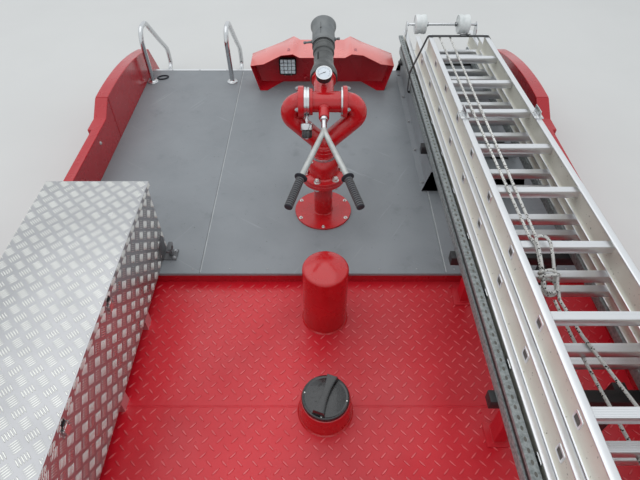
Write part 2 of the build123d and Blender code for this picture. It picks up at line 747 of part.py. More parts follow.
# Pipe hood: a low folded cover on the deck under the ladders
hood_left = seam_x
hood_right = inner_half_width - hood_side_gap
hood_length = rear_length - hood_front - trim_lip
with BuildPart() as pipe_hood:
    with BuildSketch(Plane.XZ.offset(-hood_front)):
        with Locations((hood_left, deck_top)):
            Rectangle(hood_right - hood_left, hood_height, align=(Align.MIN, Align.MIN))
        with Locations((hood_left + hood_sheet, deck_top)):
            Rectangle(
                hood_right - hood_left - 2 * hood_sheet, hood_height - hood_sheet,
                align=(Align.MIN, Align.MIN), mode=Mode.SUBTRACT,
            )
        with Locations((hood_left - hood_flange, deck_top)):
            Rectangle(hood_flange, hood_sheet, align=(Align.MIN, Align.MIN))
        with Locations((hood_right, deck_top)):
            Rectangle(hood_flange, hood_sheet, align=(Align.MIN, Align.MIN))
    extrude(amount=-hood_length)
save(pipe_hood, "pipe_hood")

# Ladder sections in their sloping plane: X across, Y along towards the rear, Z up from the top plane
ladder_x = inner_half_width - ladder_side_gap
incline = Plane(origin=(ladder_x, 0, ladder_top), x_dir=(1, 0, 0), z_dir=(0, slope, 1))
section_label = ["top", "middle", "bottom"]
for level, label in enumerate(section_label):
    width, front, rear, rung_y = [v[level] for v in (section_width, section_front, section_rear, section_rung)]
    top = -level * section_drop
    stile_x = (width - stile_flange) / 2
    first = ceil((front + rung_size - rung_y) / rung_pitch)
    last = floor((rear - rung_size - rung_y) / rung_pitch)
    with BuildPart() as ladder:
        with Locations(incline):
            with Locations([(side * stile_x, front, top) for side in (-1, 1)]):
                Box(stile_web, rear - front, stile_height, align=(Align.CENTER, Align.MIN, Align.MAX))
                Box(stile_flange, rear - front, stile_lip, align=(Align.CENTER, Align.MIN, Align.MAX))
            with Locations([(side * stile_x, front, top - stile_height) for side in (-1, 1)]):
                Box(stile_flange, rear - front, stile_lip, align=(Align.CENTER, Align.MIN, Align.MIN))
            with Locations([(0, rung_y + i * rung_pitch, top - rung_drop) for i in range(first, last + 1)]):
                Box(2 * stile_x, rung_size, rung_size, align=(Align.CENTER, Align.CENTER, Align.MAX))
    save(ladder, f"ladder_{label}")

# Rack: two sloping rails on supports that stand on the tank plate, the deck or the hood
stack_depth = 2 * section_drop + stile_height
rail_half = (section_width[2] - stile_flange) / 2
with BuildPart() as rack_rails:
    with Locations(incline):
        with Locations([(side * rail_half, rack_front, -stack_depth) for side in (-1, 1)]):
            Box(rack_tube, rack_rear - rack_front, rack_tube, align=(Align.CENTER, Align.MIN, Align.MAX))
        with Locations([(side * rail_half, rack_front, -stack_depth - rack_wall) for side in (-1, 1)]):
            Box(
                rack_tube - 2 * rack_wall, rack_rear - rack_front, rack_tube - 2 * rack_wall,
                align=(Align.CENTER, Align.MIN, Align.MAX), mode=Mode.SUBTRACT,
            )
save(rack_rails, "rack_rails")

rack_under = incline.offset(-stack_depth - rack_tube)
supports = []
for y in support_y:
    base = tank_top if y < 0 else deck_top if y < hood_front else deck_top + hood_height
    with BuildPart() as support:
        with Locations(rack_under):
            with Locations((0, y, 0)):
                Box(2 * support_reach, rack_tube, rack_tube, align=(Align.CENTER, Align.CENTER, Align.MAX))
        with Locations([(ladder_x + side * support_x, y, base) for side in (-1, 1)]):
            Box(rack_tube, support_post, ladder_top, align=FLOOR)
            Box(support_foot, support_foot, foot_sheet, align=FLOOR)
        split(bisect_by=rack_under, keep=Keep.BOTTOM)
        split(bisect_by=Plane.XY.offset(base), keep=Keep.TOP)
    supports.append(support.part)
with BuildPart() as rack_supports:
    add(supports)
save(rack_supports, "rack_supports")

# Head rollers on an axle between two plates that stand on the bottom section
bottom_top = -2 * section_drop
roller_z = bottom_top + roller_lift
with BuildPart() as roller_axle:
    with Locations(incline):
        with Locations([(side * rail_half, roller_y, bottom_top) for side in (-1, 1)]):
            Box(stile_web, roller_plate, roller_lift + axle, align=FLOOR)
    with Locations(Plane(origin=incline.from_local_coords((-rail_half, roller_y, roller_z)), z_dir=(1, 0, 0))):
        Cylinder(axle / 2, 2 * rail_half, align=FLOOR)
save(roller_axle, "roller_axle")

with BuildPart() as head_rollers:
    for side in (-1, 1):
        place = incline.from_local_coords((side * roller_x - roller_width / 2, roller_y, roller_z))
        with Locations(Plane(origin=place, z_dir=(1, 0, 0))):
            Cylinder(roller_diameter / 2, roller_width, align=FLOOR)
            Cylinder(axle / 2 + fit_gap, roller_width, align=FLOOR, mode=Mode.SUBTRACT)
save(head_rollers, "head_rollers")

# Guide brackets on the top section's stiles
top_stile_x = (section_width[0] - stile_flange) / 2
with BuildPart() as guide_brackets:
    with Locations(incline):
        with Locations([(side * top_stile_x, bracket_y, 0) for side in (-1, 1)]):
            Box(stile_flange, bracket_length, bracket_sheet, align=FLOOR)
            Box(bracket_sheet, bracket_length, bracket_height, align=FLOOR)
save(guide_brackets, "guide_brackets")

# Strap pulled tight round the sections and the rack rails
rack_half = rail_half + rack_tube / 2 + strap_slack
strap_inner = [
    (-section_width[0] / 2 - strap_slack, strap_slack), (-rack_half, bottom_top + strap_slack),
    (-rack_half, -stack_depth - rack_tube - strap_slack),
]
strap_inner += [(-x, z) for x, z in reversed(strap_inner)]
strap_plane = Plane(origin=incline.from_local_coords((0, strap_y, 0)), x_dir=(1, 0, 0), z_dir=-incline.y_dir)
with BuildPart() as ladder_strap:
    with BuildSketch(strap_plane) as loop:
        with BuildLine():
            Polyline(*strap_inner, close=True)
        make_face()
        offset(amount=strap_plate)
        with BuildLine():
            Polyline(*strap_inner, close=True)
        make_face(mode=Mode.SUBTRACT)
    extrude(amount=strap_width)
save(ladder_strap, "ladder_strap")

# Halyard: two tight lines over the top rungs to the rear, and two tails towards the front
rung_level = -rung_drop + halyard / 2 + fit_gap
over_middle = rung_level - section_drop
under_middle = -section_drop - rung_drop - rung_size - halyard / 2 - fit_gap
tail_y = hank_front_y - tail_gap
halyard_runs = [[(start, hank_rear_y, rung_level), (end, line_rear, rung_level)] for start, end in line_x]
for (across, up), route, level in zip(tail_start, (tail_over, tail_under), (over_middle, under_middle)):
    halyard_runs.append([(across, tail_y, up)] + [(x, y, level) for x, y in route])
with BuildPart() as halyard_lines:
    for run in halyard_runs:
        for start, end in zip(run[:-1], run[1:]):
            base = incline.from_local_coords(start)
            reach = incline.from_local_coords(end) - base
            with Locations(Plane(origin=base, z_dir=reach)):
                Cylinder(halyard / 2, reach.length, align=FLOOR)
        for corner in run[1:-1]:
            with Locations(incline.from_local_coords(corner)):
                Sphere(halyard / 2)
save(halyard_lines, "halyard_lines")

# Hank of spare halyard, hung over a top rung: side outline along and above the ladder's plane
over_rung = -rung_drop + fit_gap
rung_front = section_rung[0] - rung_size / 2 - fit_gap
hank_outline = [
    (hank_rear_y, over_rung), (hank_rear_y, hank_rise), (hank_crest_y, hank_rise),
    (hank_front_y, hank_tip[0]), (hank_front_y, hank_tip[1]), (rung_front, hank_inner), (rung_front, over_rung),
]
hank_plane = Plane(
    origin=incline.from_local_coords((hank_left, 0, 0)), x_dir=incline.y_dir, z_dir=(1, 0, 0),
)
with BuildPart() as halyard_hank:
    with BuildSketch(hank_plane):
        with BuildLine():
            Polyline(*hank_outline, close=True)
        make_face()
    extrude(amount=hank_width)
save(halyard_hank, "halyard_hank")
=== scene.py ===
"""Looks of a fire truck's roof deck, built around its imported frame. Lengths are metres, in the frame's axes."""
import json
from math import atan2, ceil, cos, floor, pi, radians, sin

import bmesh
import bpy
from mathutils import Matrix, Vector

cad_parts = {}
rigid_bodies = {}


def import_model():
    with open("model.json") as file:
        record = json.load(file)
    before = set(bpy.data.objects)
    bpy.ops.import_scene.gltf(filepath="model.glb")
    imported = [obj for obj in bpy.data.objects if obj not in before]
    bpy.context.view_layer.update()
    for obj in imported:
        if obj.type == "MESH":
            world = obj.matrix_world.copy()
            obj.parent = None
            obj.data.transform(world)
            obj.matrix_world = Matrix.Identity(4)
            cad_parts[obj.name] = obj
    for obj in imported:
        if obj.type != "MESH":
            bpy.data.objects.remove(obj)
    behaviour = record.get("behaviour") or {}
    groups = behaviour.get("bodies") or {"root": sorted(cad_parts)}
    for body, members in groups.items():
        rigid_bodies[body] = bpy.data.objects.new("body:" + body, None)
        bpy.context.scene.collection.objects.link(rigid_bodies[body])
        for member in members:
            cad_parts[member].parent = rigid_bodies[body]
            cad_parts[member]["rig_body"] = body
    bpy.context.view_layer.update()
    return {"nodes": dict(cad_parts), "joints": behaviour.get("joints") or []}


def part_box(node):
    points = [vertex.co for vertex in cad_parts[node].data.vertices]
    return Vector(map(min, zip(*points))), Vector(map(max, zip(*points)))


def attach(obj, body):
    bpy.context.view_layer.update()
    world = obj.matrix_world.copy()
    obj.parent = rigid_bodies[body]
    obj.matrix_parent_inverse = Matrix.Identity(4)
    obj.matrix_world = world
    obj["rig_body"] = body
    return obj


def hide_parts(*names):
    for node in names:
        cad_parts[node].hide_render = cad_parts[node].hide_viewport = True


bl_info = {
    "name": "Fire Truck Roof Deck",
    "version": (1, 0, 0),
    "blender": (4, 5, 0),
    "location": "3D View > Sidebar > Roof Deck",
    "description": "Finishes, fittings and stage for a fire truck's roof deck",
    "category": "Object",
}

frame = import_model()


# Places and outlines

def mm(*values):
    """Metres from millimetres, given as numbers or as tuples of numbers."""
    return [tuple(n / 1000 for n in value) if isinstance(value, tuple) else value / 1000 for value in values]


def box_of(node):
    """Low corner, high corner and middle of a CAD node's box."""
    low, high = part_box(node)
    return low, high, (low + high) / 2


def at(x, y, z):
    """Placement that only shifts."""
    return Matrix.Translation((x, y, z))


def turned(degrees, axis="Z"):
    """Placement that only turns, by degrees about an axis."""
    return Matrix.Rotation(radians(degrees), 4, axis)


def frame_of(axis, origin=(0, 0, 0), across=(1, 0, 0)):
    """Placement whose Z runs along axis and whose X lies as near to across as it can."""
    up = Vector(axis).normalized()
    side = Vector(across) - up * up.dot(Vector(across))
    if side.length < 1e-4:
        side = Vector((0, 1, 0)) - up * up.y
    side.normalize()
    turn = Matrix((side, up.cross(side), up)).transposed().to_4x4()
    return Matrix.Translation(Vector(origin)) @ turn


def angles(count):
    """Equal steps round a circle."""
    return [2 * pi * k / count for k in range(count)]


def disc(radius, low, high):
    """Profile of a plain disc or rod."""
    return [(0, low), (radius, low), (radius, high), (0, high)]


def oval(length, width, count, nose=0.0):
    """Outline of an oval along X; nose pushes its widest part back."""
    return [(length / 2 * cos(a), width / 2 * sin(a) * (1 - nose * cos(a))) for a in angles(count)]


def eased(points, radius, steps):
    """A closed 2-D outline with its corners rounded."""
    points = [Vector(p) for p in points]
    result = []
    for i, corner in enumerate(points):
        before, after = points[i - 1] - corner, points[(i + 1) % len(points)] - corner
        reach = min(radius, before.length * 0.45, after.length * 0.45)
        start, end = corner + before.normalized() * reach, corner + after.normalized() * reach
        for step in range(steps + 1):
            t = step / steps
            result.append(start * (1 - t) ** 2 + corner * 2 * t * (1 - t) + end * t ** 2)
    return result


def rounded(x0, y0, x1, y1, radius, steps=3):
    """Rectangle between two corners, with its corners rounded."""
    return eased([(x0, y0), (x1, y0), (x1, y1), (x0, y1)], radius, steps)


def bent(points, radii, steps=8):
    """A 3-D path of straight runs joined by arcs, one radius for each inner corner."""
    points = [Vector(p) for p in points]
    path = [points[0]]
    for corner, before, after, radius in zip(points[1:-1], points[:-2], points[2:], radii):
        back, ahead = (before - corner).normalized(), (after - corner).normalized()
        half = back.angle(ahead) / 2
        centre = corner + (back + ahead).normalized() * radius / sin(half)
        reach = radius / max(1e-6, sin(half)) * cos(half)
        start, end = (corner + side * reach - centre for side in (back, ahead))
        path += [centre + start.normalized().slerp(end.normalized(), k / steps) * radius for k in range(steps + 1)]
    return path + [points[-1]]


# Levels and places read from the frame
joints = {joint["name"]: joint for joint in frame["joints"]}
deck_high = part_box("deck_plate_middle")[1]
tank_low, tank_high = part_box("tank_plate_rear")
deck_z, rear_edge = deck_high.z, deck_high.y
tank_z, half_width, weld_y = tank_high.z, tank_high.x, tank_low.y
swivel = Vector(joints["monitor_swing"]["pos_m"])
cross = Vector(joints["monitor_tilt"]["pos_m"])
elevation = radians(13)
aim = Vector((0, cos(elevation), sin(elevation)))

# Ladders: their plane falls towards the rear; X across, Y along, Z up from the top section's upper face
ladder_origin = Vector((box_of("ladder_top")[2].x, 0, 0.723))
ladders = frame_of((0, 0.055, 1), ladder_origin)
# For each section: its name, its front and rear end, one rung's place, and the middles of its left and right stile
ladder_sections = (
    ("top", -2.190, 1.312, -0.357, -0.1700, 0.1390),
    ("middle", -2.150, 1.530, -0.394, -0.1925, 0.1830),
    ("bottom", -2.120, 1.880, -0.373, -0.2130, 0.2230),
)
top_stiles = ladder_sections[0][4:]
ladder_drop, rung_pitch, rung_size, rung_drop, stile_height, stile_flange = mm(95.3, 280, 30, 14, 95, 25)
stack_height = 2 * ladder_drop + stile_height
rack_half = 0.2225
# Turns an outline in XY into one in XZ that is drawn out along Y
upright = Matrix(((1, 0, 0, 0), (0, 0, 1, 0), (0, 1, 0, 0), (0, 0, 0, 1)))


# Settings

class DeckColours(bpy.types.PropertyGroup):
    """Colours of the deck's finishes."""

    tank_red: bpy.props.FloatVectorProperty(
        name="Tank Red", description="Paint of the tread plates over the tank", subtype="COLOR", size=3,
        default=(0.60, 0.006, 0.018), min=0, max=1,
    )
    body_red: bpy.props.FloatVectorProperty(
        name="Body Red", description="Gloss paint of the fairings and the lamp cowl", subtype="COLOR", size=3,
        default=(0.43, 0.008, 0.016), min=0, max=1,
    )
    monitor_red: bpy.props.FloatVectorProperty(
        name="Monitor Red", description="Enamel of the water monitor's castings", subtype="COLOR", size=3,
        default=(0.50, 0.006, 0.010), min=0, max=1,
    )
    deck_grey: bpy.props.FloatVectorProperty(
        name="Deck Grey", description="Anti-slip coating of the walkway", subtype="COLOR", size=3,
        default=(0.235, 0.252, 0.268), min=0, max=1,
    )
    aluminium: bpy.props.FloatVectorProperty(
        name="Aluminium", description="Extruded aluminium of the ladders", subtype="COLOR", size=3,
        default=(0.60, 0.61, 0.61), min=0, max=1,
    )
    tread: bpy.props.FloatVectorProperty(
        name="Tread Plate", description="Bright tread plate of the locker", subtype="COLOR", size=3,
        default=(0.70, 0.70, 0.67), min=0, max=1,
    )
    floor: bpy.props.FloatVectorProperty(
        name="Floor", description="Plain floor under the deck", subtype="COLOR", size=3,
        default=(0.60, 0.60, 0.59), min=0, max=1,
    )


class DeckSizes(bpy.types.PropertyGroup):
    """Sizes of the repeated details."""

    lug_length: bpy.props.FloatProperty(
        name="Lug Length", description="Length of a tear-drop lug on the tank plates", unit="LENGTH",
        default=0.036, min=0.01,
    )
    lug_width: bpy.props.FloatProperty(
        name="Lug Width", description="Greatest width of a tear-drop lug", unit="LENGTH", default=0.0085, min=0.002,
    )
    lug_height: bpy.props.FloatProperty(
        name="Lug Height", description="Height of a tear-drop lug above the plate", unit="LENGTH",
        default=0.0020, min=0.0002,
    )
    lug_pitch_across: bpy.props.FloatProperty(
        name="Lug Pitch Across", description="Distance between lugs of one slant across the deck", unit="LENGTH",
        default=0.052, min=0.02,
    )
    lug_pitch_along: bpy.props.FloatProperty(
        name="Lug Pitch Along", description="Distance between lugs of one slant along the deck", unit="LENGTH",
        default=0.053, min=0.02,
    )
    bar_length: bpy.props.FloatProperty(
        name="Bar Length", description="Length of a bar on the locker's tread plate", unit="LENGTH",
        default=0.034, min=0.01,
    )
    bar_width: bpy.props.FloatProperty(
        name="Bar Width", description="Width of a bar on the locker's tread plate", unit="LENGTH",
        default=0.0050, min=0.001,
    )
    bar_height: bpy.props.FloatProperty(
        name="Bar Height", description="Height of a bar above the sheet", unit="LENGTH", default=0.0013, min=0.0002,
    )
    bar_pitch: bpy.props.FloatProperty(
        name="Bar Pitch", description="Distance between the five bars of one group", unit="LENGTH",
        default=0.0075, min=0.002,
    )
    group_pitch: bpy.props.FloatProperty(
        name="Group Pitch", description="Distance between neighbouring groups of bars", unit="LENGTH",
        default=0.0443, min=0.02,
    )
    screw_pitch: bpy.props.FloatProperty(
        name="Screw Pitch", description="Distance between the screws along the step", unit="LENGTH",
        default=0.167, min=0.02,
    )
    rope: bpy.props.FloatProperty(
        name="Rope Diameter", description="Diameter of the ladders' halyard", unit="LENGTH",
        default=0.010, min=0.004, max=0.02,
    )


class StageSettings(bpy.types.PropertyGroup):
    """Camera and light."""

    lens: bpy.props.FloatProperty(
        name="Lens", description="Camera's focal length in millimetres", default=27.96, min=10, max=100,
    )
    pitch: bpy.props.FloatProperty(
        name="Camera Pitch", description="How far the camera looks down from level", subtype="ANGLE", unit="ROTATION",
        default=radians(46.4),
    )
    sky: bpy.props.FloatProperty(
        name="Sky", description="Strength of the even light from all round", default=0.95, min=0, max=4,
    )
    key: bpy.props.FloatProperty(
        name="Soft Light", description="Power of the large soft light overhead, in watts",
        default=110.0, min=0, max=5000,
    )


def settings():
    """The scene's three groups of settings: colours, sizes and stage."""
    scene = bpy.context.scene
    return scene.deck_colours, scene.deck_sizes, scene.deck_stage


# Node trees and finishes

def plug(tree, node, inputs):
    """Set or link a node's inputs."""
    for key, value in inputs.items():
        if isinstance(value, bpy.types.NodeSocket):
            tree.links.new(value, node.inputs[key])
        else:
            node.inputs[key].default_value = value


def wire(tree, kind, inputs=None, **values):
    """Add a node to a tree, set its properties, and set or link its inputs."""
    node = tree.nodes.new(kind)
    for key, value in values.items():
        setattr(node, key, value)
    plug(tree, node, inputs or {})
    return node


def mapped(tree, place, angle=0.0, scale=(1, 1, 1)):
    """A place socket turned about Z and scaled."""
    inputs = {"Vector": place, "Rotation": (0, 0, radians(angle)), "Scale": scale}
    return wire(tree, "ShaderNodeMapping", inputs).outputs["Vector"]


def noise(tree, place, scale, detail=4.0, rough=0.55, stretch=None):
    """Noise value on a place socket; stretch scales its axes."""
    if stretch:
        place = mapped(tree, place, scale=stretch)
    inputs = {"Vector": place, "Scale": scale, "Detail": detail, "Roughness": rough}
    return wire(tree, "ShaderNodeTexNoise", inputs).outputs["Fac"]


def wave(tree, place, angle, scale, distortion=0.0):
    """Bands across a turned place socket."""
    inputs = {"Vector": mapped(tree, place, angle), "Scale": scale, "Distortion": distortion}
    return wire(tree, "ShaderNodeTexWave", inputs).outputs["Fac"]


def spread(tree, value, low, high, bottom=0.0, top=1.0):
    """Value between low and high, stretched to bottom and top."""
    inputs = {"Value": value, "From Min": low, "From Max": high, "To Min": bottom, "To Max": top}
    return wire(tree, "ShaderNodeMapRange", inputs).outputs["Result"]


def blend(tree, share, first, second):
    """Colour from first to second by share."""
    pair = {0: share, 6: first if hasattr(first, "node") else (*first, 1), 7: (*second, 1)}
    return wire(tree, "ShaderNodeMix", pair, data_type="RGBA").outputs[2]


def math(tree, operation, first, second):
    """One arithmetic step on values or sockets."""
    return wire(tree, "ShaderNodeMath", {0: first, 1: second}, operation=operation).outputs[0]


def bump(tree, height, depth, normal=None):
    """Normal of a height map of that depth in metres, laid over another normal."""
    inputs = {"Height": height, "Distance": depth, "Strength": 1.0}
    if normal:
        inputs["Normal"] = normal
    return wire(tree, "ShaderNodeBump", inputs).outputs["Normal"]


def finish(name, colour, roughness, metallic=0.0, specular=0.5, coat=0.0, coat_roughness=0.08, coat_ior=1.5,
           drift=None, gloss=None, specks=None, grain=None, dents=None, pattern=None):
    """Surface with slow colour drift, a gloss map, specks, fine grain and shallow dents, on object coordinates.

    drift is (second colour or share of the first, scale, how far), gloss is (scale, smoothest, roughest), specks
    are (colour, scale, threshold), grain and dents are (scale, depth in metres, and a stretch where there is one),
    and pattern is a function that gives further shader inputs.
    """
    material = bpy.data.materials.new(name)
    material.use_nodes = True
    tree = material.node_tree
    shader = tree.nodes["Principled BSDF"]
    plug(tree, shader, {
        "Base Color": (*colour, 1), "Roughness": roughness, "Metallic": metallic, "Specular IOR Level": specular,
        "Coat Weight": coat, "Coat Roughness": coat_roughness, "Coat IOR": coat_ior,
    })
    place = wire(tree, "ShaderNodeTexCoord").outputs["Object"]
    links, tone, normal = {}, colour, None
    if drift:
        second = drift[0] if isinstance(drift[0], tuple) else [c * drift[0] for c in colour]
        tone = blend(tree, spread(tree, noise(tree, place, drift[1]), 0.35, 0.65, 0.0, drift[2]), tone, second)
    if specks:
        share = spread(tree, noise(tree, place, specks[1], 2.0), specks[2], specks[2] + 0.05)
        tone = blend(tree, share, tone, specks[0])
    if drift or specks:
        links["Base Color"] = tone
    if gloss:
        links["Roughness"] = spread(tree, noise(tree, place, gloss[0]), 0.35, 0.68, *gloss[1:])
    for scale, depth, *stretch in filter(None, (grain, dents)):
        normal = bump(tree, noise(tree, place, scale, 3.0, 0.5, *stretch), depth, normal)
    if normal:
        links["Normal"] = normal
    if pattern:
        links.update(pattern(tree, place, colour))
    plug(tree, shader, links)
    return material


def coating(tree, place, colour):
    """Pale scuffs, dark drag marks and stains of the anti-slip coating."""
    share = spread(tree, noise(tree, place, 2.3), 0.38, 0.62, 0.0, 0.75)
    tone = blend(tree, share, colour, [c * 0.84 for c in colour])
    stain = spread(tree, noise(tree, place, 9.0, 6.0, 0.7), 0.58, 0.72, 0.0, 0.45)
    tone = blend(tree, stain, tone, [c * 0.62 for c in colour])
    for angle, lean in ((35, 0.28), (-58, 0.2)):
        streak = noise(tree, mapped(tree, place, angle), 1.0, 4.0, 0.6, (2.0, 46.0, 2.0))
        tone = blend(tree, spread(tree, streak, 0.66, 0.78, 0.0, lean), tone, [min(1.0, c * 2.1) for c in colour])
    fleck = spread(tree, noise(tree, place, 75.0, 2.0), 0.70, 0.76, 0.0, 0.6)
    return {"Base Color": blend(tree, fleck, tone, (0.05, 0.05, 0.055))}


def weave(tree, place, colour):
    """Ribs of the strap's webbing."""
    return {"Normal": bump(tree, wave(tree, place, 45, 260.0, 0.4), 0.0006)}


def braid(tree, place, colour):
    """White braid with black flecks; it follows the rope's own UV map, U along it and V round it."""
    place = wire(tree, "ShaderNodeUVMap", uv_map="along").outputs["UV"]
    plait = math(tree, "MAXIMUM", *(wave(tree, place, lean, 26.0) for lean in (38, -38)))
    flecks = {"Vector": mapped(tree, place, scale=(5.0, 3.0, 1.0)), "Scale": 1.0}
    dark = spread(tree, wire(tree, "ShaderNodeTexVoronoi", flecks).outputs["Distance"], 0.26, 0.34, 1.0, 0.0)
    soil = spread(tree, noise(tree, place, 0.7), 0.4, 0.7, 0.0, 0.5)
    tone = blend(tree, soil, (0.86, 0.85, 0.82), (0.68, 0.67, 0.63))
    # Darker in the grooves between the strands: painted shade
    tone = blend(tree, spread(tree, plait, 0.35, 0.75, 0.35, 0.0), tone, (0.50, 0.49, 0.46))
    tone = blend(tree, dark, tone, (0.02, 0.02, 0.022))
    return {"Base Color": tone, "Normal": bump(tree, plait, 0.0012)}


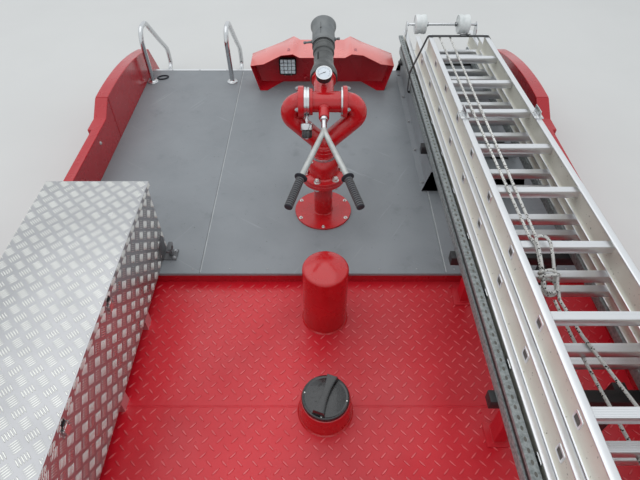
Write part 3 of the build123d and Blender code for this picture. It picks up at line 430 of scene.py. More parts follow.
# Each look: the material's name, its colour or None where the user sets it, its roughness and what else finish takes
looks = {
    "tank_red": ("tank_red_paint", None, 0.40, dict(
        specular=0.52, drift=(0.72, 2.2, 0.8), gloss=(3.0, 0.24, 0.52), dents=(18.0, 0.0012))),
    # Paler tops of the tread lugs: a painted highlight
    "lug_red": ("tread_lug_paint", (0.70, 0.11, 0.12), 0.3, dict(
        specular=0.6, drift=((0.50, 0.04, 0.05), 6.0, 0.7), gloss=(8.0, 0.2, 0.4), grain=(300.0, 0.0001))),
    "body_red": ("body_red_paint", None, 0.34, dict(
        coat=0.35, coat_roughness=0.16, specular=0.35, drift=(0.8, 3.0, 0.6), gloss=(9.0, 0.2, 0.36),
        grain=(420.0, 0.00006))),
    # Upper faces of the lamp cowl, painted paler red: a painted sky reflection
    "cowl_top_red": ("faded_red_paint", (0.72, 0.17, 0.15), 0.35, dict(
        coat=0.7, coat_roughness=0.2, coat_ior=1.6, drift=((0.60, 0.12, 0.11), 5.0, 0.6), gloss=(9.0, 0.24, 0.4),
        grain=(420.0, 0.00006))),
    "monitor_red": ("monitor_red_enamel", None, 0.25, dict(
        coat=0.35, coat_roughness=0.15, drift=(0.78, 9.0, 0.6), gloss=(14.0, 0.16, 0.34), grain=(160.0, 0.00025))),
    "deck_grey": ("deck_grey_coating", None, 0.5, dict(
        specular=0.4, gloss=(5.0, 0.34, 0.62), grain=(300.0, 0.0002), pattern=coating)),
    # Bead beside the deck's joints, painted paler than the coating: a painted highlight on the joint's edge
    "seam_grey": ("seam_sealant", (0.42, 0.44, 0.45), 0.5, dict(
        specular=0.4, drift=((0.30, 0.32, 0.33), 14.0, 0.8))),
    "aluminium": ("ladder_aluminium", None, 0.42, dict(
        metallic=0.85, drift=(0.82, 6.0, 0.8), specks=((0.3, 0.3, 0.3), 120.0, 0.72), gloss=(11.0, 0.32, 0.55),
        grain=(60.0, 0.00012, (30.0, 1.0, 30.0)))),
    "web_aluminium": ("ladder_web_aluminium", (0.69, 0.675, 0.60), 0.5, dict(
        metallic=0.3, drift=((0.62, 0.60, 0.52), 8.0, 0.7), specks=((0.30, 0.29, 0.25), 90.0, 0.68),
        gloss=(9.0, 0.38, 0.6), grain=(40.0, 0.00015, (30.0, 1.0, 30.0)))),
    "tread": ("bright_tread_plate", None, 0.3, dict(
        metallic=0.9, drift=(0.86, 4.0, 0.7), gloss=(7.0, 0.24, 0.4), grain=(90.0, 0.0001))),
    # Tread plate between its raised bars, darker than the bars: painted shade
    "tread_ground": ("tread_plate_ground", (0.47, 0.47, 0.48), 0.38, dict(
        metallic=0.8, drift=((0.40, 0.40, 0.41), 4.0, 0.7), gloss=(7.0, 0.30, 0.48), grain=(90.0, 0.0001))),
    "trim": ("bright_trim", (0.78, 0.79, 0.80), 0.3, dict(
        metallic=0.9, gloss=(8.0, 0.22, 0.42), grain=(80.0, 0.0001, (1.0, 30.0, 30.0)))),
    "stainless": ("brushed_stainless", (0.60, 0.61, 0.62), 0.22, dict(
        metallic=1.0, gloss=(16.0, 0.14, 0.3), grain=(220.0, 0.00003, (1.0, 1.0, 20.0)))),
    "bright_screw": ("bright_zinc_screw", (0.78, 0.78, 0.76), 0.28, dict(
        metallic=0.9, drift=((0.5, 0.5, 0.48), 60.0, 0.6))),
    "dull_screw": ("dull_zinc_screw", (0.40, 0.41, 0.42), 0.45, dict(
        metallic=0.6, drift=((0.24, 0.24, 0.25), 60.0, 0.7))),
    # Slots and rivet marks, which show paler than a deep gap
    "slot_shade": ("slot_shade", (0.085, 0.083, 0.076), 0.6, dict(drift=((0.13, 0.125, 0.11), 60.0, 0.7))),
    "dark_gap": ("dark_gap", (0.010, 0.010, 0.011), 0.7, dict(drift=((0.02, 0.018, 0.016), 30.0, 0.6))),
    "zinc": ("galvanised_steel", (0.30, 0.33, 0.33), 0.5, dict(
        metallic=0.2, drift=((0.17, 0.19, 0.19), 90.0, 1.0), gloss=(90.0, 0.38, 0.62), grain=(240.0, 0.00012))),
    "black_metal": ("black_coated_steel", (0.016, 0.016, 0.017), 0.45, dict(
        gloss=(40.0, 0.36, 0.55), grain=(500.0, 0.00006))),
    "dark_frame": ("frame_paint", (0.055, 0.057, 0.06), 0.55, dict(
        drift=((0.09, 0.08, 0.07), 6.0, 0.7), gloss=(9.0, 0.45, 0.7), grain=(260.0, 0.0002))),
    "nozzle_black": ("nozzle_anodised_black", (0.052, 0.055, 0.055), 0.4, dict(
        metallic=0.2, drift=((0.085, 0.09, 0.088), 22.0, 0.7), gloss=(30.0, 0.26, 0.46), grain=(260.0, 0.00008))),
    # Paler grey of the nozzle's sleeve
    "sleeve_grey": ("sleeve_anodised_grey", (0.13, 0.14, 0.145), 0.42, dict(
        metallic=0.2, drift=((0.19, 0.2, 0.2), 16.0, 0.8), gloss=(30.0, 0.32, 0.52), grain=(260.0, 0.00008))),
    "handle_silver": ("handle_zinc_finish", (0.47, 0.48, 0.465), 0.42, dict(
        metallic=0.4, drift=((0.30, 0.31, 0.30), 30.0, 0.6), gloss=(40.0, 0.34, 0.52), grain=(420.0, 0.00005))),
    "cast_grey": ("clamp_grey_metal", (0.085, 0.088, 0.094), 0.5, dict(
        drift=((0.13, 0.13, 0.135), 30.0, 0.7), gloss=(40.0, 0.4, 0.6), grain=(300.0, 0.0001))),
    "wet_black": ("cap_wet_plastic", (0.010, 0.010, 0.011), 0.2, dict(
        coat=0.5, coat_roughness=0.05, gloss=(60.0, 0.08, 0.4), grain=(330.0, 0.0009))),
    "water": ("water_drop", (0.006, 0.006, 0.006), 0.04, dict(
        coat=1.0, coat_roughness=0.02, drift=((0.012, 0.012, 0.013), 90.0, 0.5))),
    "rubber": ("grip_rubber", (0.012, 0.013, 0.016), 0.55, dict(gloss=(50.0, 0.42, 0.66), grain=(700.0, 0.00008))),
    "rib_rubber": ("worn_rib_rubber", (0.11, 0.11, 0.115), 0.5, dict(
        gloss=(50.0, 0.4, 0.6), grain=(700.0, 0.00008))),
    "white_plastic": ("roller_plastic", (0.72, 0.74, 0.74), 0.38, dict(
        drift=((0.52, 0.55, 0.54), 22.0, 0.8), gloss=(20.0, 0.3, 0.5), grain=(160.0, 0.0002))),
    "dial_white": ("gauge_dial", (0.60, 0.65, 0.70), 0.25, dict(
        coat=0.5, coat_roughness=0.03, drift=((0.52, 0.58, 0.63), 60.0, 0.5))),
    "dial_ink": ("gauge_ink", (0.02, 0.02, 0.025), 0.4, dict(drift=((0.05, 0.05, 0.05), 90.0, 0.5))),
    "led_lens": ("lamp_lens", (0.78, 0.86, 0.90), 0.12, dict(
        coat=1.0, coat_roughness=0.03, drift=((0.45, 0.53, 0.57), 80.0, 0.8), gloss=(60.0, 0.06, 0.2))),
    "webbing": ("strap_webbing", (0.018, 0.018, 0.020), 0.72, dict(
        drift=((0.035, 0.035, 0.038), 30.0, 0.7), pattern=weave)),
    "rope": ("halyard_braid", (0.74, 0.73, 0.70), 0.8, dict(specular=0.25, pattern=braid)),
    "floor": ("pale_floor", None, 0.8, dict(specular=0.1, drift=(0.97, 1.2, 1.0))),
}


def look(key):
    """The material of one look, built on first use."""
    name, colour, roughness, values = looks[key]
    if name not in bpy.data.materials:
        finish(name, colour or tuple(getattr(settings()[0], key)), roughness, **values)
    return bpy.data.materials[name]


# Shapes

class Shape:
    """Vertices and faces of one piece, gathered from simple forms. Each face has the number of its look."""

    def __init__(self):
        self.points, self.faces, self.looks = [], [], []

    def add(self, points, faces, look=0):
        """More points, and faces numbered from the first of them."""
        start = len(self.points)
        self.points += [Vector(p) for p in points]
        self.faces += [[start + i for i in face] for face in faces]
        self.looks += [look] * len(faces)
        return self

    def loft(self, rings, look=0, closed=False):
        """Skin over rings of equally many points: it has two ends, or else closes on itself."""
        count, total = len(rings[0]), len(rings)
        faces = [] if closed else [list(range(count))[::-1], [(total - 1) * count + k for k in range(count)]]
        for ring in range(total if closed else total - 1):
            a, b = ring * count, (ring + 1) % total * count
            faces += [[a + k, a + (k + 1) % count, b + (k + 1) % count, b + k] for k in range(count)]
        return self.add([point for ring in rings for point in ring], faces, look)

    def stack(self, outline, levels, place=Matrix(), look=0):
        """Loft over an outline in the placement's XY; each level is its two scales and its height."""
        return self.loft([[place @ Vector((x * p, y * q, z)) for x, y in outline] for p, q, z in levels], look)

    def prism(self, outline, place, low, high, look=0, side_look=None):
        """Closed outline in the placement's XY, from low to high along its Z."""
        self.loft([[place @ Vector((p[0], p[1], z)) for p in outline] for z in (low, high)], look)
        if side_look:
            self.looks[-len(outline):] = [side_look(a, b) for a, b in zip(outline, outline[1:] + outline[:1])]
        return self

    def block(self, low, high, place=Matrix(), look=0):
        """Square-edged block between two corners of a placement."""
        outline = [(low[0], low[1]), (high[0], low[1]), (high[0], high[1]), (low[0], high[1])]
        return self.prism(outline, place, low[2], high[2], look)

    def lathe(self, profile, place=Matrix(), steps=48, look=0, closed=False):
        """Turned form from (radius, height) pairs about the placement's Z."""
        points, rings, faces = [], [], []
        for radius, height in profile:
            if radius < 1e-6:
                rings.append([len(points)] * steps)
                points.append(place @ Vector((0, 0, height)))
            else:
                rings.append(list(range(len(points), len(points) + steps)))
                points += [place @ Vector((radius * cos(a), radius * sin(a), height)) for a in angles(steps)]
        for low, high in list(zip(rings[:-1], rings[1:])) + ([(rings[-1], rings[0])] if closed else []):
            for i in range(steps):
                face = [low[i], low[(i + 1) % steps], high[(i + 1) % steps], high[i]]
                face = [p for n, p in enumerate(face) if p != face[n - 1]]
                if len(face) > 2:
                    faces.append(face)
        return self.add(points, faces, look)

    def bead(self, radius, place, size, steps=72):
        """Weld bead or fillet round a pipe where it meets a plate at the placement's Z = 0."""
        inner = radius - size * 0.4
        section = [(inner, -size * 0.3), (radius + size, -size * 0.3), (radius + size * 0.85, size * 0.25),
                   (radius + size * 0.35, size * 0.5), (radius + size * 0.12, size), (inner, size * 1.05)]
        return self.lathe(section, place, steps, closed=True)

    def tube(self, path, radius, sides=20, look=0, closed=False):
        """Round bar along a path; radius is one number or one for each point."""
        path = [Vector(p) for p in path]
        last = len(path) - 1
        rings, side = [], None
        for i, place in enumerate(path):
            back, on = (i - 1, (i + 1) % len(path)) if closed else (max(i - 1, 0), min(i + 1, last))
            along = (path[on] - path[back]).normalized()
            side = side or along.orthogonal().normalized()
            side = (side - along * along.dot(side)).normalized()
            over, r = along.cross(side), radius[i] if isinstance(radius, list) else radius
            rings.append([place + (side * cos(a) + over * sin(a)) * r for a in angles(sides)])
        return self.loft(rings, look, closed)

    def mesh(self, data, place=Matrix(), look=0):
        """Another mesh's faces."""
        return self.add([place @ v.co for v in data.vertices], [list(p.vertices) for p in data.polygons], look)

    def rows(self, item, place, columns, pitch, rows=1, row_pitch=0.05, turn=0, gap=(0, 0, 0), clear=0.0, look=0):
        """Rows of an item on the placement's XY plane, centred on it, with none within a clear radius of a gap."""
        mesh = repeated(field_tree(), item, Columns=columns, Rows=rows, Column_Pitch=pitch, Row_Pitch=row_pitch,
                        Turn=radians(turn), Gap_Centre=gap, Gap_Radius=clear)
        return self.mesh(mesh, place, look)

    def ring(self, item, place, count, radius, first=0.0, look=1):
        """Copies of an item round a circle, in the placement's frame."""
        return self.mesh(repeated(ring_tree(), item, Count=count, Radius=radius, First_Angle=first), place, look)

    def data(self, name, keys=()):
        """The gathered faces as one mesh with its normals outwards."""
        mesh = bpy.data.meshes.new(name)
        mesh.from_pydata(self.points, [], self.faces)
        mesh.polygons.foreach_set("material_index", self.looks)
        for key in keys:
            mesh.materials.append(look(key))
        form = bmesh.new()
        form.from_mesh(mesh)
        bmesh.ops.recalc_face_normals(form, faces=form.faces)
        form.to_mesh(mesh)
        form.free()
        return mesh

    def piece(self, name, body, slot, keys, *replaces, edge=0.0, angle=32.0):
        """The finished piece, riding on its body and standing for the CAD nodes that it replaces."""
        return settle(placed(name, self.data(name, keys)), body, replaces, edge, angle)


def placed(name, data):
    """New object in the scene."""
    obj = bpy.data.objects.new(name, data)
    bpy.context.scene.collection.objects.link(obj)
    return obj


def evaluated(obj):
    """Mesh that an object's modifiers make of it."""
    bpy.context.view_layer.update()
    return bpy.data.meshes.new_from_object(obj.evaluated_get(bpy.context.evaluated_depsgraph_get()))


def settle(obj, body, replaces=(), edge=0.0, angle=32.0):
    """Round a piece's edges, shade it, and tie it to its body and CAD nodes."""
    if edge:
        bevel_and_lit_crest = obj.modifiers.new("edge", "BEVEL")
        bevel_and_lit_crest.width, bevel_and_lit_crest.segments = edge, 2
        bevel_and_lit_crest.limit_method, bevel_and_lit_crest.angle_limit = "ANGLE", radians(angle)
        bevel_and_lit_crest.harden_normals = False
        mesh = evaluated(obj)
        obj.modifiers.clear()
        obj.data = mesh
    obj.data.shade_smooth()
    obj.data.set_sharp_from_angle(angle=radians(angle))
    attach(obj, body)
    if replaces:
        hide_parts(*replaces)
    return obj


def dressed(node, edge, keys, angle=30.0, change=None):
    """Copy of a CAD node, merged and with its edges rounded, which stands for the node; change may move a vertex."""
    source = frame["nodes"][node]
    form = bmesh.new()
    form.from_mesh(source.data)
    bmesh.ops.remove_doubles(form, verts=form.verts, dist=0.00002)
    bmesh.ops.dissolve_limit(form, angle_limit=radians(0.6), verts=form.verts, edges=form.edges)
    if change:
        for vertex in form.verts:
            change(vertex.co)
        bmesh.ops.triangulate(form, faces=[face for face in form.faces if len(face.verts) > 3])
    mesh = bpy.data.meshes.new(node + "_skin")
    form.to_mesh(mesh)
    form.free()
    for key in keys:
        mesh.materials.append(look(key))
    return settle(placed(mesh.name, mesh), source["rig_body"], (node,), edge, angle)


def painted(key, *nodes):
    """Give CAD nodes a finish and leave their shape."""
    for node in nodes:
        frame["nodes"][node].data.materials.clear()
        frame["nodes"][node].data.materials.append(look(key))


# Repeats

def repeating_tree(name, sockets, build):
    """Geometry Nodes tree, built on first use, that puts an item on points; build gives the points and the turn."""
    if name in bpy.data.node_groups:
        return bpy.data.node_groups[name]
    tree = bpy.data.node_groups.new(name, "GeometryNodeTree")
    for label, kind in {"Item": "Object", **sockets}.items():
        tree.interface.new_socket(label, in_out="INPUT", socket_type="NodeSocket" + kind)
    tree.interface.new_socket("Geometry", in_out="OUTPUT", socket_type="NodeSocketGeometry")
    get = wire(tree, "NodeGroupInput").outputs
    points, turn = build(tree, get)
    item = wire(tree, "GeometryNodeObjectInfo", {"Object": get["Item"]}).outputs["Geometry"]
    spots = wire(tree, "GeometryNodeInstanceOnPoints", {"Points": points, "Instance": item, "Rotation": turn})
    real = wire(tree, "GeometryNodeRealizeInstances", {"Geometry": spots.outputs["Instances"]})
    wire(tree, "NodeGroupOutput", {"Geometry": real.outputs["Geometry"]})
    return tree


def field_tree():
    """Rows of one item on a plane: columns by rows, centred, each copy turned by the same angle."""
    def build(tree, get):
        wide, long = (math(tree, "MULTIPLY", math(tree, "SUBTRACT", get[count], 1.0), get[pitch])
                      for count, pitch in (("Columns", "Column Pitch"), ("Rows", "Row Pitch")))
        size = {"Size X": wide, "Size Y": long, "Vertices X": get["Columns"], "Vertices Y": get["Rows"]}
        grid = wire(tree, "GeometryNodeMeshGrid", size)
        ends = {0: wire(tree, "GeometryNodeInputPosition").outputs["Position"], 1: get["Gap Centre"]}
        reach = wire(tree, "ShaderNodeVectorMath", ends, operation="DISTANCE").outputs["Value"]
        near = {"Geometry": grid.outputs["Mesh"], "Selection": math(tree, "LESS_THAN", reach, get["Gap Radius"])}
        kept = wire(tree, "GeometryNodeDeleteGeometry", near, domain="POINT")
        turn = wire(tree, "ShaderNodeCombineXYZ", {"Z": get["Turn"]})
        return kept.outputs["Geometry"], turn.outputs["Vector"]

    return repeating_tree("rows_of_items", {
        "Columns": "Int", "Rows": "Int", "Column Pitch": "Float", "Row Pitch": "Float", "Turn": "Float",
        "Gap Centre": "Vector", "Gap Radius": "Float",
    }, build)


def ring_tree():
    """Items round a circle, each turned to face outwards."""
    def build(tree, get):
        circle = wire(tree, "GeometryNodeMeshCircle", {"Vertices": get["Count"], "Radius": get["Radius"]})
        start = wire(tree, "ShaderNodeCombineXYZ", {"Z": get["First Angle"]}).outputs["Vector"]
        spun = wire(tree, "GeometryNodeTransform", {"Geometry": circle.outputs["Mesh"], "Rotation": start})
        flat = {0: wire(tree, "GeometryNodeInputPosition").outputs["Position"], 1: (1, 1, 0)}
        out = wire(tree, "ShaderNodeVectorMath", flat, operation="MULTIPLY").outputs["Vector"]
        facing = wire(tree, "FunctionNodeAlignRotationToVector", {"Vector": out}, axis="X", pivot_axis="Z")
        return spun.outputs["Geometry"], facing.outputs["Rotation"]

    return repeating_tree("ring_of_items", {"Count": "Int", "Radius": "Float", "First Angle": "Float"}, build)


def repeated(tree, item, **values):
    """Mesh that a tree makes of an item's mesh; values are the tree's inputs, with spaces as underscores."""
    source, holder = placed("item", item), placed("holder", bpy.data.meshes.new("holder"))
    modifier = holder.modifiers.new("repeat", "NODES")
    modifier.node_group = tree
    keys = {s.name: s.identifier for s in tree.interface.items_tree if s.in_out == "INPUT"}
    for label, value in {"Item": source, **values}.items():
        modifier[keys[label.replace("_", " ")]] = value
    result = evaluated(holder)
    holder.modifiers.clear()
    bpy.data.objects.remove(holder)
    bpy.data.objects.remove(source)
    return result


def trimmed(mesh, half_x, half_y):
    """Cut a flat pattern off at a rectangle in its XY, and close the cuts."""
    form = bmesh.new()
    form.from_mesh(mesh)
    for x, y in ((-1, 0), (1, 0), (0, -1), (0, 1)):
        everything = form.verts[:] + form.edges[:] + form.faces[:]
        bmesh.ops.bisect_plane(form, geom=everything, plane_co=(x * half_x, y * half_y, 0), plane_no=(x, y, 0),
                               clear_outer=True, dist=1e-6)
        bmesh.ops.holes_fill(form, edges=[e for e in form.edges if e.is_boundary], sides=0)
    form.to_mesh(mesh)
    form.free()
    return mesh


def raised(name, outline, height, shrink, foot):
    """Closed low form on an outline: it narrows upwards and its foot is sunk into the plate."""
    return Shape().stack(outline, ((1, 1, -foot), (0.5 + shrink / 2, shrink, height))).data(name)


def hex_bolt(across, height, washer, stud=0.0):
    """Hexagon head or nut with its washer and the end of its stud, standing on its placement."""
    base = across * 0.11
    top = base + height
    corners = across / 2 / cos(pi / 6)
    shape = Shape().lathe(disc(washer / 2, 0, base), steps=20)
    shape.stack([(corners * cos(a), corners * sin(a)) for a in angles(6)],
                ((1, 1, base), (1, 1, top - height * 0.2), (0.88, 0.88, top)))
    if stud:
        end = top + stud
        shape.lathe([(across * 0.3, top), (across * 0.3, end - stud * 0.2), (across * 0.22, end), (0, end)], steps=12)
    return shape.data("hex_bolt")


def pan_screw(diameter, height):
    """Low round screw head."""
    r = diameter / 2
    profile = [(0, 0), (r, 0), (r, height * 0.4), (r * 0.8, height * 0.85), (r * 0.35, height), (0, height)]
    return Shape().lathe(profile, steps=10).data("pan_screw")


# Deck

def make_plates():
    """Red tread plates with their lugs and weld seam, the grey walkway, its step, screws and rear trim."""
    sizes = settings()[1]
    painted("tank_red", "tank_plate_front", "tank_plate_rear")
    painted("deck_grey", "deck_plate_left", "deck_plate_middle", "deck_plate_right")
    painted("body_red", "step_riser")
    painted("trim", "rear_trim")
    painted("dark_frame", "deck_frame")
    outline = oval(sizes.lug_length, sizes.lug_width, 8, 0.25)
    crest = [(0.78 * x, 0.56 * y) for x, y in outline]
    crest_skin = 0.0002
    lug = raised("lug", outline, sizes.lug_height, 0.5, 0.0006)
    # The thin pale crest on each lug's top carries the paler red, a painted highlight
    bevel_and_lit_crest = Shape().prism(crest, Matrix(), sizes.lug_height - crest_skin, sizes.lug_height + crest_skin).data("worn_top")
    neck, clear = box_of("filler_neck")[2], 0.094
    for node in ("tank_plate_front", "tank_plate_rear"):
        low, high, middle = box_of(node)
        columns = floor((high.x - low.x + 0.02) / sizes.lug_pitch_across)
        rows = floor((high.y - low.y + 0.02) / sizes.lug_pitch_along)
        gap = (neck.x - middle.x, neck.y - middle.y, 0)
        lugs = Shape()
        for less, turn in ((0, 45), (1, -45)):
            for part, item in enumerate((lug, bevel_and_lit_crest)):
                lugs.rows(item, at(middle.x, middle.y, tank_z), columns - less, sizes.lug_pitch_across,
                          rows - less, sizes.lug_pitch_along, turn, gap, clear, part)
        lugs.piece(node + "_lugs", "deck", "tank_red", ["tank_red", "lug_red"], angle=40)
    steps = 118
    xs = [half_width * (2 * k / steps - 1) for k in range(steps + 1)]
    line = [(x, weld_y + 0.0006 * sin(x * 61) + 0.0004 * sin(x * 173), tank_z - 0.0022) for x in xs]
    seam = Shape().tube(line, [0.0046 + 0.0004 * sin(x * 410) for x in xs], 8)
    seam.piece("tank_weld_seam", "deck", "tank_red", ["tank_red"], angle=60)
    # The beads' pale grey is a painted highlight along the deck's joints
    section = mm((1.5, -1), (7.5, -1), (7, 0.6), (4.5, 1.4), (2, 0.6))
    beads = Shape()
    for node in ("deck_plate_left", "deck_plate_middle"):
        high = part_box(node)[1]
        beads.prism(section, frame_of((0, -1, 0), (high.x, 0, deck_z)), -high.y + 0.035, -0.004)
    beads.piece("deck_seam_beads", "deck", "deck_grey", ["seam_grey"], angle=40)
    lip = Shape().block((-half_width, -0.0048, deck_z - 0.014), (half_width, -0.0031, deck_z - 0.0006))
    lip.piece("deck_edge_lip", "deck", "deck_grey", ["deck_grey"], edge=0.0005)
    screws = Shape().rows(pan_screw(0.008, 0.0022), at(0.004, 0.021, deck_z), 14, sizes.screw_pitch)
    screws.rows(pan_screw(0.009, 0.0025), at(0.004, rear_edge - 0.011, deck_z + 0.0015), 12, 0.19)
    screws.piece("deck_edge_screws", "deck", "deck_grey", ["dull_screw"])


def make_fairings():
    """Side fairings: folded and painted sheet with soft edges, joint caps and fixing screws."""
    for side, sign in (("left", -1), ("right", 1)):
        dressed("side_fairing_" + side, 0.004, ["body_red"], angle=14)
        dressed("rear_fairing_" + side, 0.004, ["body_red"], angle=14)
        face = frame_of((-sign, 0, 0), (sign * half_width, -0.30, 0.300), (0, 1, 0))
        heads = Shape().rows(hex_bolt(0.013, 0.005, 0.020), face, 7, 0.36)
        heads.piece("fairing_bolts_" + side, "deck", "body_red", ["bright_screw"])


def make_cowl():
    """Lamp cowl with its foot gussets and small fittings, and the square work lamp in it."""
    low, _, middle = box_of("lamp_cowl")

    def fold(point):
        """Folds of the front edge that run out level with the straight rear edge, and the ceiling under them."""
        across, along = abs(point.x - middle.x), point.y - low.y
        if point.z < deck_z + 0.15:
            return
        for x in (0.373, 0.258):
            if abs(across - x) < 0.002 and along > 0.170:
                point.z = deck_z + 0.173 + (0.458 - x) * (0.0695 / 0.268)
        if abs(across - 0.2568) < 0.003 and 0.110 < along < 0.130:
            point.z -= 0.0095

    cowl = dressed("lamp_cowl", 0.0012, ["body_red", "cowl_top_red"], angle=24, change=fold)
    # Upward faces high on the cowl take the paler red, a painted sky reflection
    for face in cowl.data.polygons:
        if face.normal.z > 0.6 and face.center.z > deck_z + 0.10:
            face.material_index = 1
    make_lamp()
    wall = frame_of((0, -1, 0), (-0.109, low.y + 0.119, deck_z + 0.034))
    knob = Shape().lathe(mm((0, 0), (7, 0), (7, 10), (11, 12), (11, 20), (7, 24), (0, 24)), wall, 16)
    knob.piece("cowl_wall_knob", "deck", "body_red", ["body_red"])
    rings, thick = Shape(), 0.0045
    for x, y, size, turn in ((-1.085, 1.735, 1.0, 0.3), (0.432, 1.795, 0.55, 1.1)):
        place = at(x, y, deck_z) @ Matrix.Rotation(turn, 4, "Z")
        path = [place @ Vector((0.036 * size * cos(a), 0.024 * size * sin(a), thick)) for a in angles(24)]
        rings.tube(path, thick, 10, closed=True)
    rings.piece("deck_rubber_rings", "deck", "black_metal", ["rubber"])


def make_lamp():
    """Square work lamp: finned case, bezel and a four by four block of lenses."""
    low, high, middle = box_of("work_lamp")
    half, back = (high.x - low.x) / 2, -0.020
    front = frame_of((0, -1, 0), (middle.x, low.y, middle.z))
    outline = rounded(-half, -half, half, half, 0.012, 5)
    case = Shape().prism(outline, front, back, -0.004)
    case.stack(outline, ((1, 1, -0.004), (0.97, 0.97, 0), (0.9486, 0.9486, 0), (0.93, 0.93, -0.006)), front)
    fin = Shape().block((-half * 0.8, -0.0015, -0.016), (half * 0.8, 0.0015, 0.0)).data("fin")
    case.rows(fin, front @ at(0, 0, back), 1, 0.01, 9, 0.010)
    case.block((-0.018, -0.018, -0.046), (0.018, 0.018, back), front)
    lens = Shape().lathe([(0.0152 * r, z) for r, z in (
        (0, 0), (1, 0), (1.04, 0.0015), (0.9, 0.0042), (0.5, 0.0058), (0, 0.0062))], turned(45), 4).data("lens")
    case.rows(lens, front @ at(0, 0, -0.0055), 4, 0.0250, 4, 0.0250, look=1)
    case.block((-0.030, -half - 0.012, -0.026), (0.030, -half + 0.004, -0.016), front)
    case.rows(pan_screw(0.009, 0.004), front @ at(0, -half - 0.005, -0.016), 2, 0.042, look=2)
    keys = ["black_metal", "led_lens", "bright_screw"]
    case.piece("work_lamp_body", "deck", "black_metal", keys, "work_lamp")


def make_grab_rails():
    """Bent stainless grab rails with round foot plates."""
    route = mm((-171, 6), (-193, 280), (-163, 355), (-53, 352), (157, 140), (287, 15), (297, -124), (9, -124))
    foot = mm((0, 0), (35, 0), (35, 4.5), (33.5, 6), (24, 6.5), (18, 10), (15.8, 13.5), (0, 13.5))
    for node in ("grab_rail_left", "grab_rail_right"):
        x = box_of(node)[2].x
        path = bent([(x, rear_edge + y, deck_z + z) for y, z in route], mm(70, 55, 90, 240, 90, 50))
        rail = Shape().tube(path, 0.015, 24)
        wall = frame_of((0, 1, 0), (x, rear_edge + 0.003, deck_z - 0.124))
        for seat in (at(x, rear_edge - 0.171, deck_z), wall):
            rail.lathe(foot, seat, 32)
            rail.ring(pan_screw(0.008, 0.0025), seat @ at(0, 0, 0.006), 3, 0.0275, 0.5)
        rail.piece(node + "_tube", "deck", "stainless", ["stainless", "bright_screw"], node)


# Locker

def tread_face(place, width, length):
    """Basket weave of groups of five pressed bars that covers a rectangle centred on the placement."""
    sizes = settings()[1]
    step = sizes.group_pitch * 2 ** 0.5
    bar = raised("bar", oval(sizes.bar_length, sizes.bar_width * 1.15, 6), sizes.bar_height, 0.55, 0.0003)
    group, cover = Shape(), Shape()
    for k in range(-2, 3):
        group.mesh(bar, at(0, k * sizes.bar_pitch, 0))
    item = group.data("five_bars")
    columns, rows = ceil(width / step) + 2, ceil(length / step) + 2
    for offset, turn in ((0.0, 45), (0.5, -45)):
        cover.rows(item, at(offset * step, offset * step, 0), columns, step, rows, step, turn)
    mesh = trimmed(cover.data("tread"), width / 2, length / 2)
    mesh.transform(place)
    return mesh


def make_locker():
    """Tread-plate locker: box, lid with hinge, latches and their keepers, feet and rear clamp."""
    # The locker's box and lid skins take the darker ground: painted shade between the tread bars
    dressed("locker_box", 0.0012, ["tread_ground"])
    dressed("locker_lid", 0.0012, ["tread_ground"])
    painted("stainless", "locker_hinge")
    painted("trim", "locker_feet")
    low, high, middle = box_of("locker_lid")
    length = high.y - low.y - 0.006
    top = Shape().mesh(tread_face(at(middle.x, middle.y, high.z), high.x - low.x - 0.010, length))
    top.mesh(tread_face(frame_of((1, 0, 0), (high.x, middle.y, high.z - 0.0115), (0, 1, 0)), length, 0.020))
    top.piece("locker_lid_tread", "lid", "tread_plate", ["tread"], angle=40)
    skirt = high.z - 0.023
    low, high, middle = box_of("locker_box")
    height, level = skirt - low.z - 0.006, (skirt + low.z) / 2
    wide, long = high.x - low.x - 0.008, high.y - low.y - 0.008
    sides = Shape()
    # Each side: the way it faces, its middle, its width, and how much of its height the hinge takes
    for x, y, place, width, less in (
        (1, 0, (high.x, middle.y, level), long, 0), (-1, 0, (low.x, middle.y, level - 0.02), long, 0.044),
        (0, -1, (middle.x, low.y, level), wide, 0), (0, 1, (middle.x, high.y, level), wide, 0),
    ):
        sides.mesh(tread_face(frame_of((x, y, 0), place, (abs(y), abs(x), 0)), width, height - less))
    sides.piece("locker_box_tread", "deck", "tread_plate", ["tread"], angle=40)
    make_latches()
    make_clamp()


def make_latches():
    """Over-centre latches on the locker's side and their keepers on the lid."""
    seat = Vector((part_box("locker_latches")[0].x, 0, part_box("locker_latches")[1].z))
    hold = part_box("latch_keepers")[0]
    latch, keeper = Shape(), Shape()
    for y in (-0.842, -0.420):
        face = frame_of((1, 0, 0), (seat.x, y, seat.z), (0, 1, 0))
        latch.prism(rounded(-0.022, -0.052, 0.022, -0.004, 0.004), face, 0.0, 0.002)
        lever = eased(mm((-13, -50), (13, -50), (11, -10), (-11, -10)), 0.004, 3)
        latch.prism(lever, face, 0.005, 0.009, 1)
        for x in (-0.0155, 0.0155):
            latch.block((x - 0.0015, -0.030, 0.0), (x + 0.0015, -0.010, 0.012), face)
        latch.tube([face @ Vector((x, -0.016, 0.0085)) for x in (-0.018, 0.018)], 0.003, 12, 1)
        loop = mm((-9, -20, 10), (-9, -1, 11), (9, -1, 11), (9, -20, 10))
        latch.tube([face @ Vector(p) for p in loop], 0.0016, 8, 1)
        latch.rows(pan_screw(0.006, 0.002), face @ at(0, -0.028, 0.002), 2, 0.036, 2, 0.034, look=1)
        face = frame_of((1, 0, 0), (hold.x, y, hold.z), (0, 1, 0))
        keeper.prism(rounded(-0.011, 0.0, 0.011, 0.013, 0.003), face, 0.0, 0.002)
        keeper.block((-0.008, 0.002, 0.002), (0.008, 0.0045, 0.007), face)
    latch.piece("locker_toggle_latches", "deck", "black_metal", ["dull_screw", "bright_screw"], "locker_latches",
                edge=0.0004)
    keeper.piece("locker_lid_keepers", "lid", "black_metal", ["black_metal"], "latch_keepers", edge=0.0003)


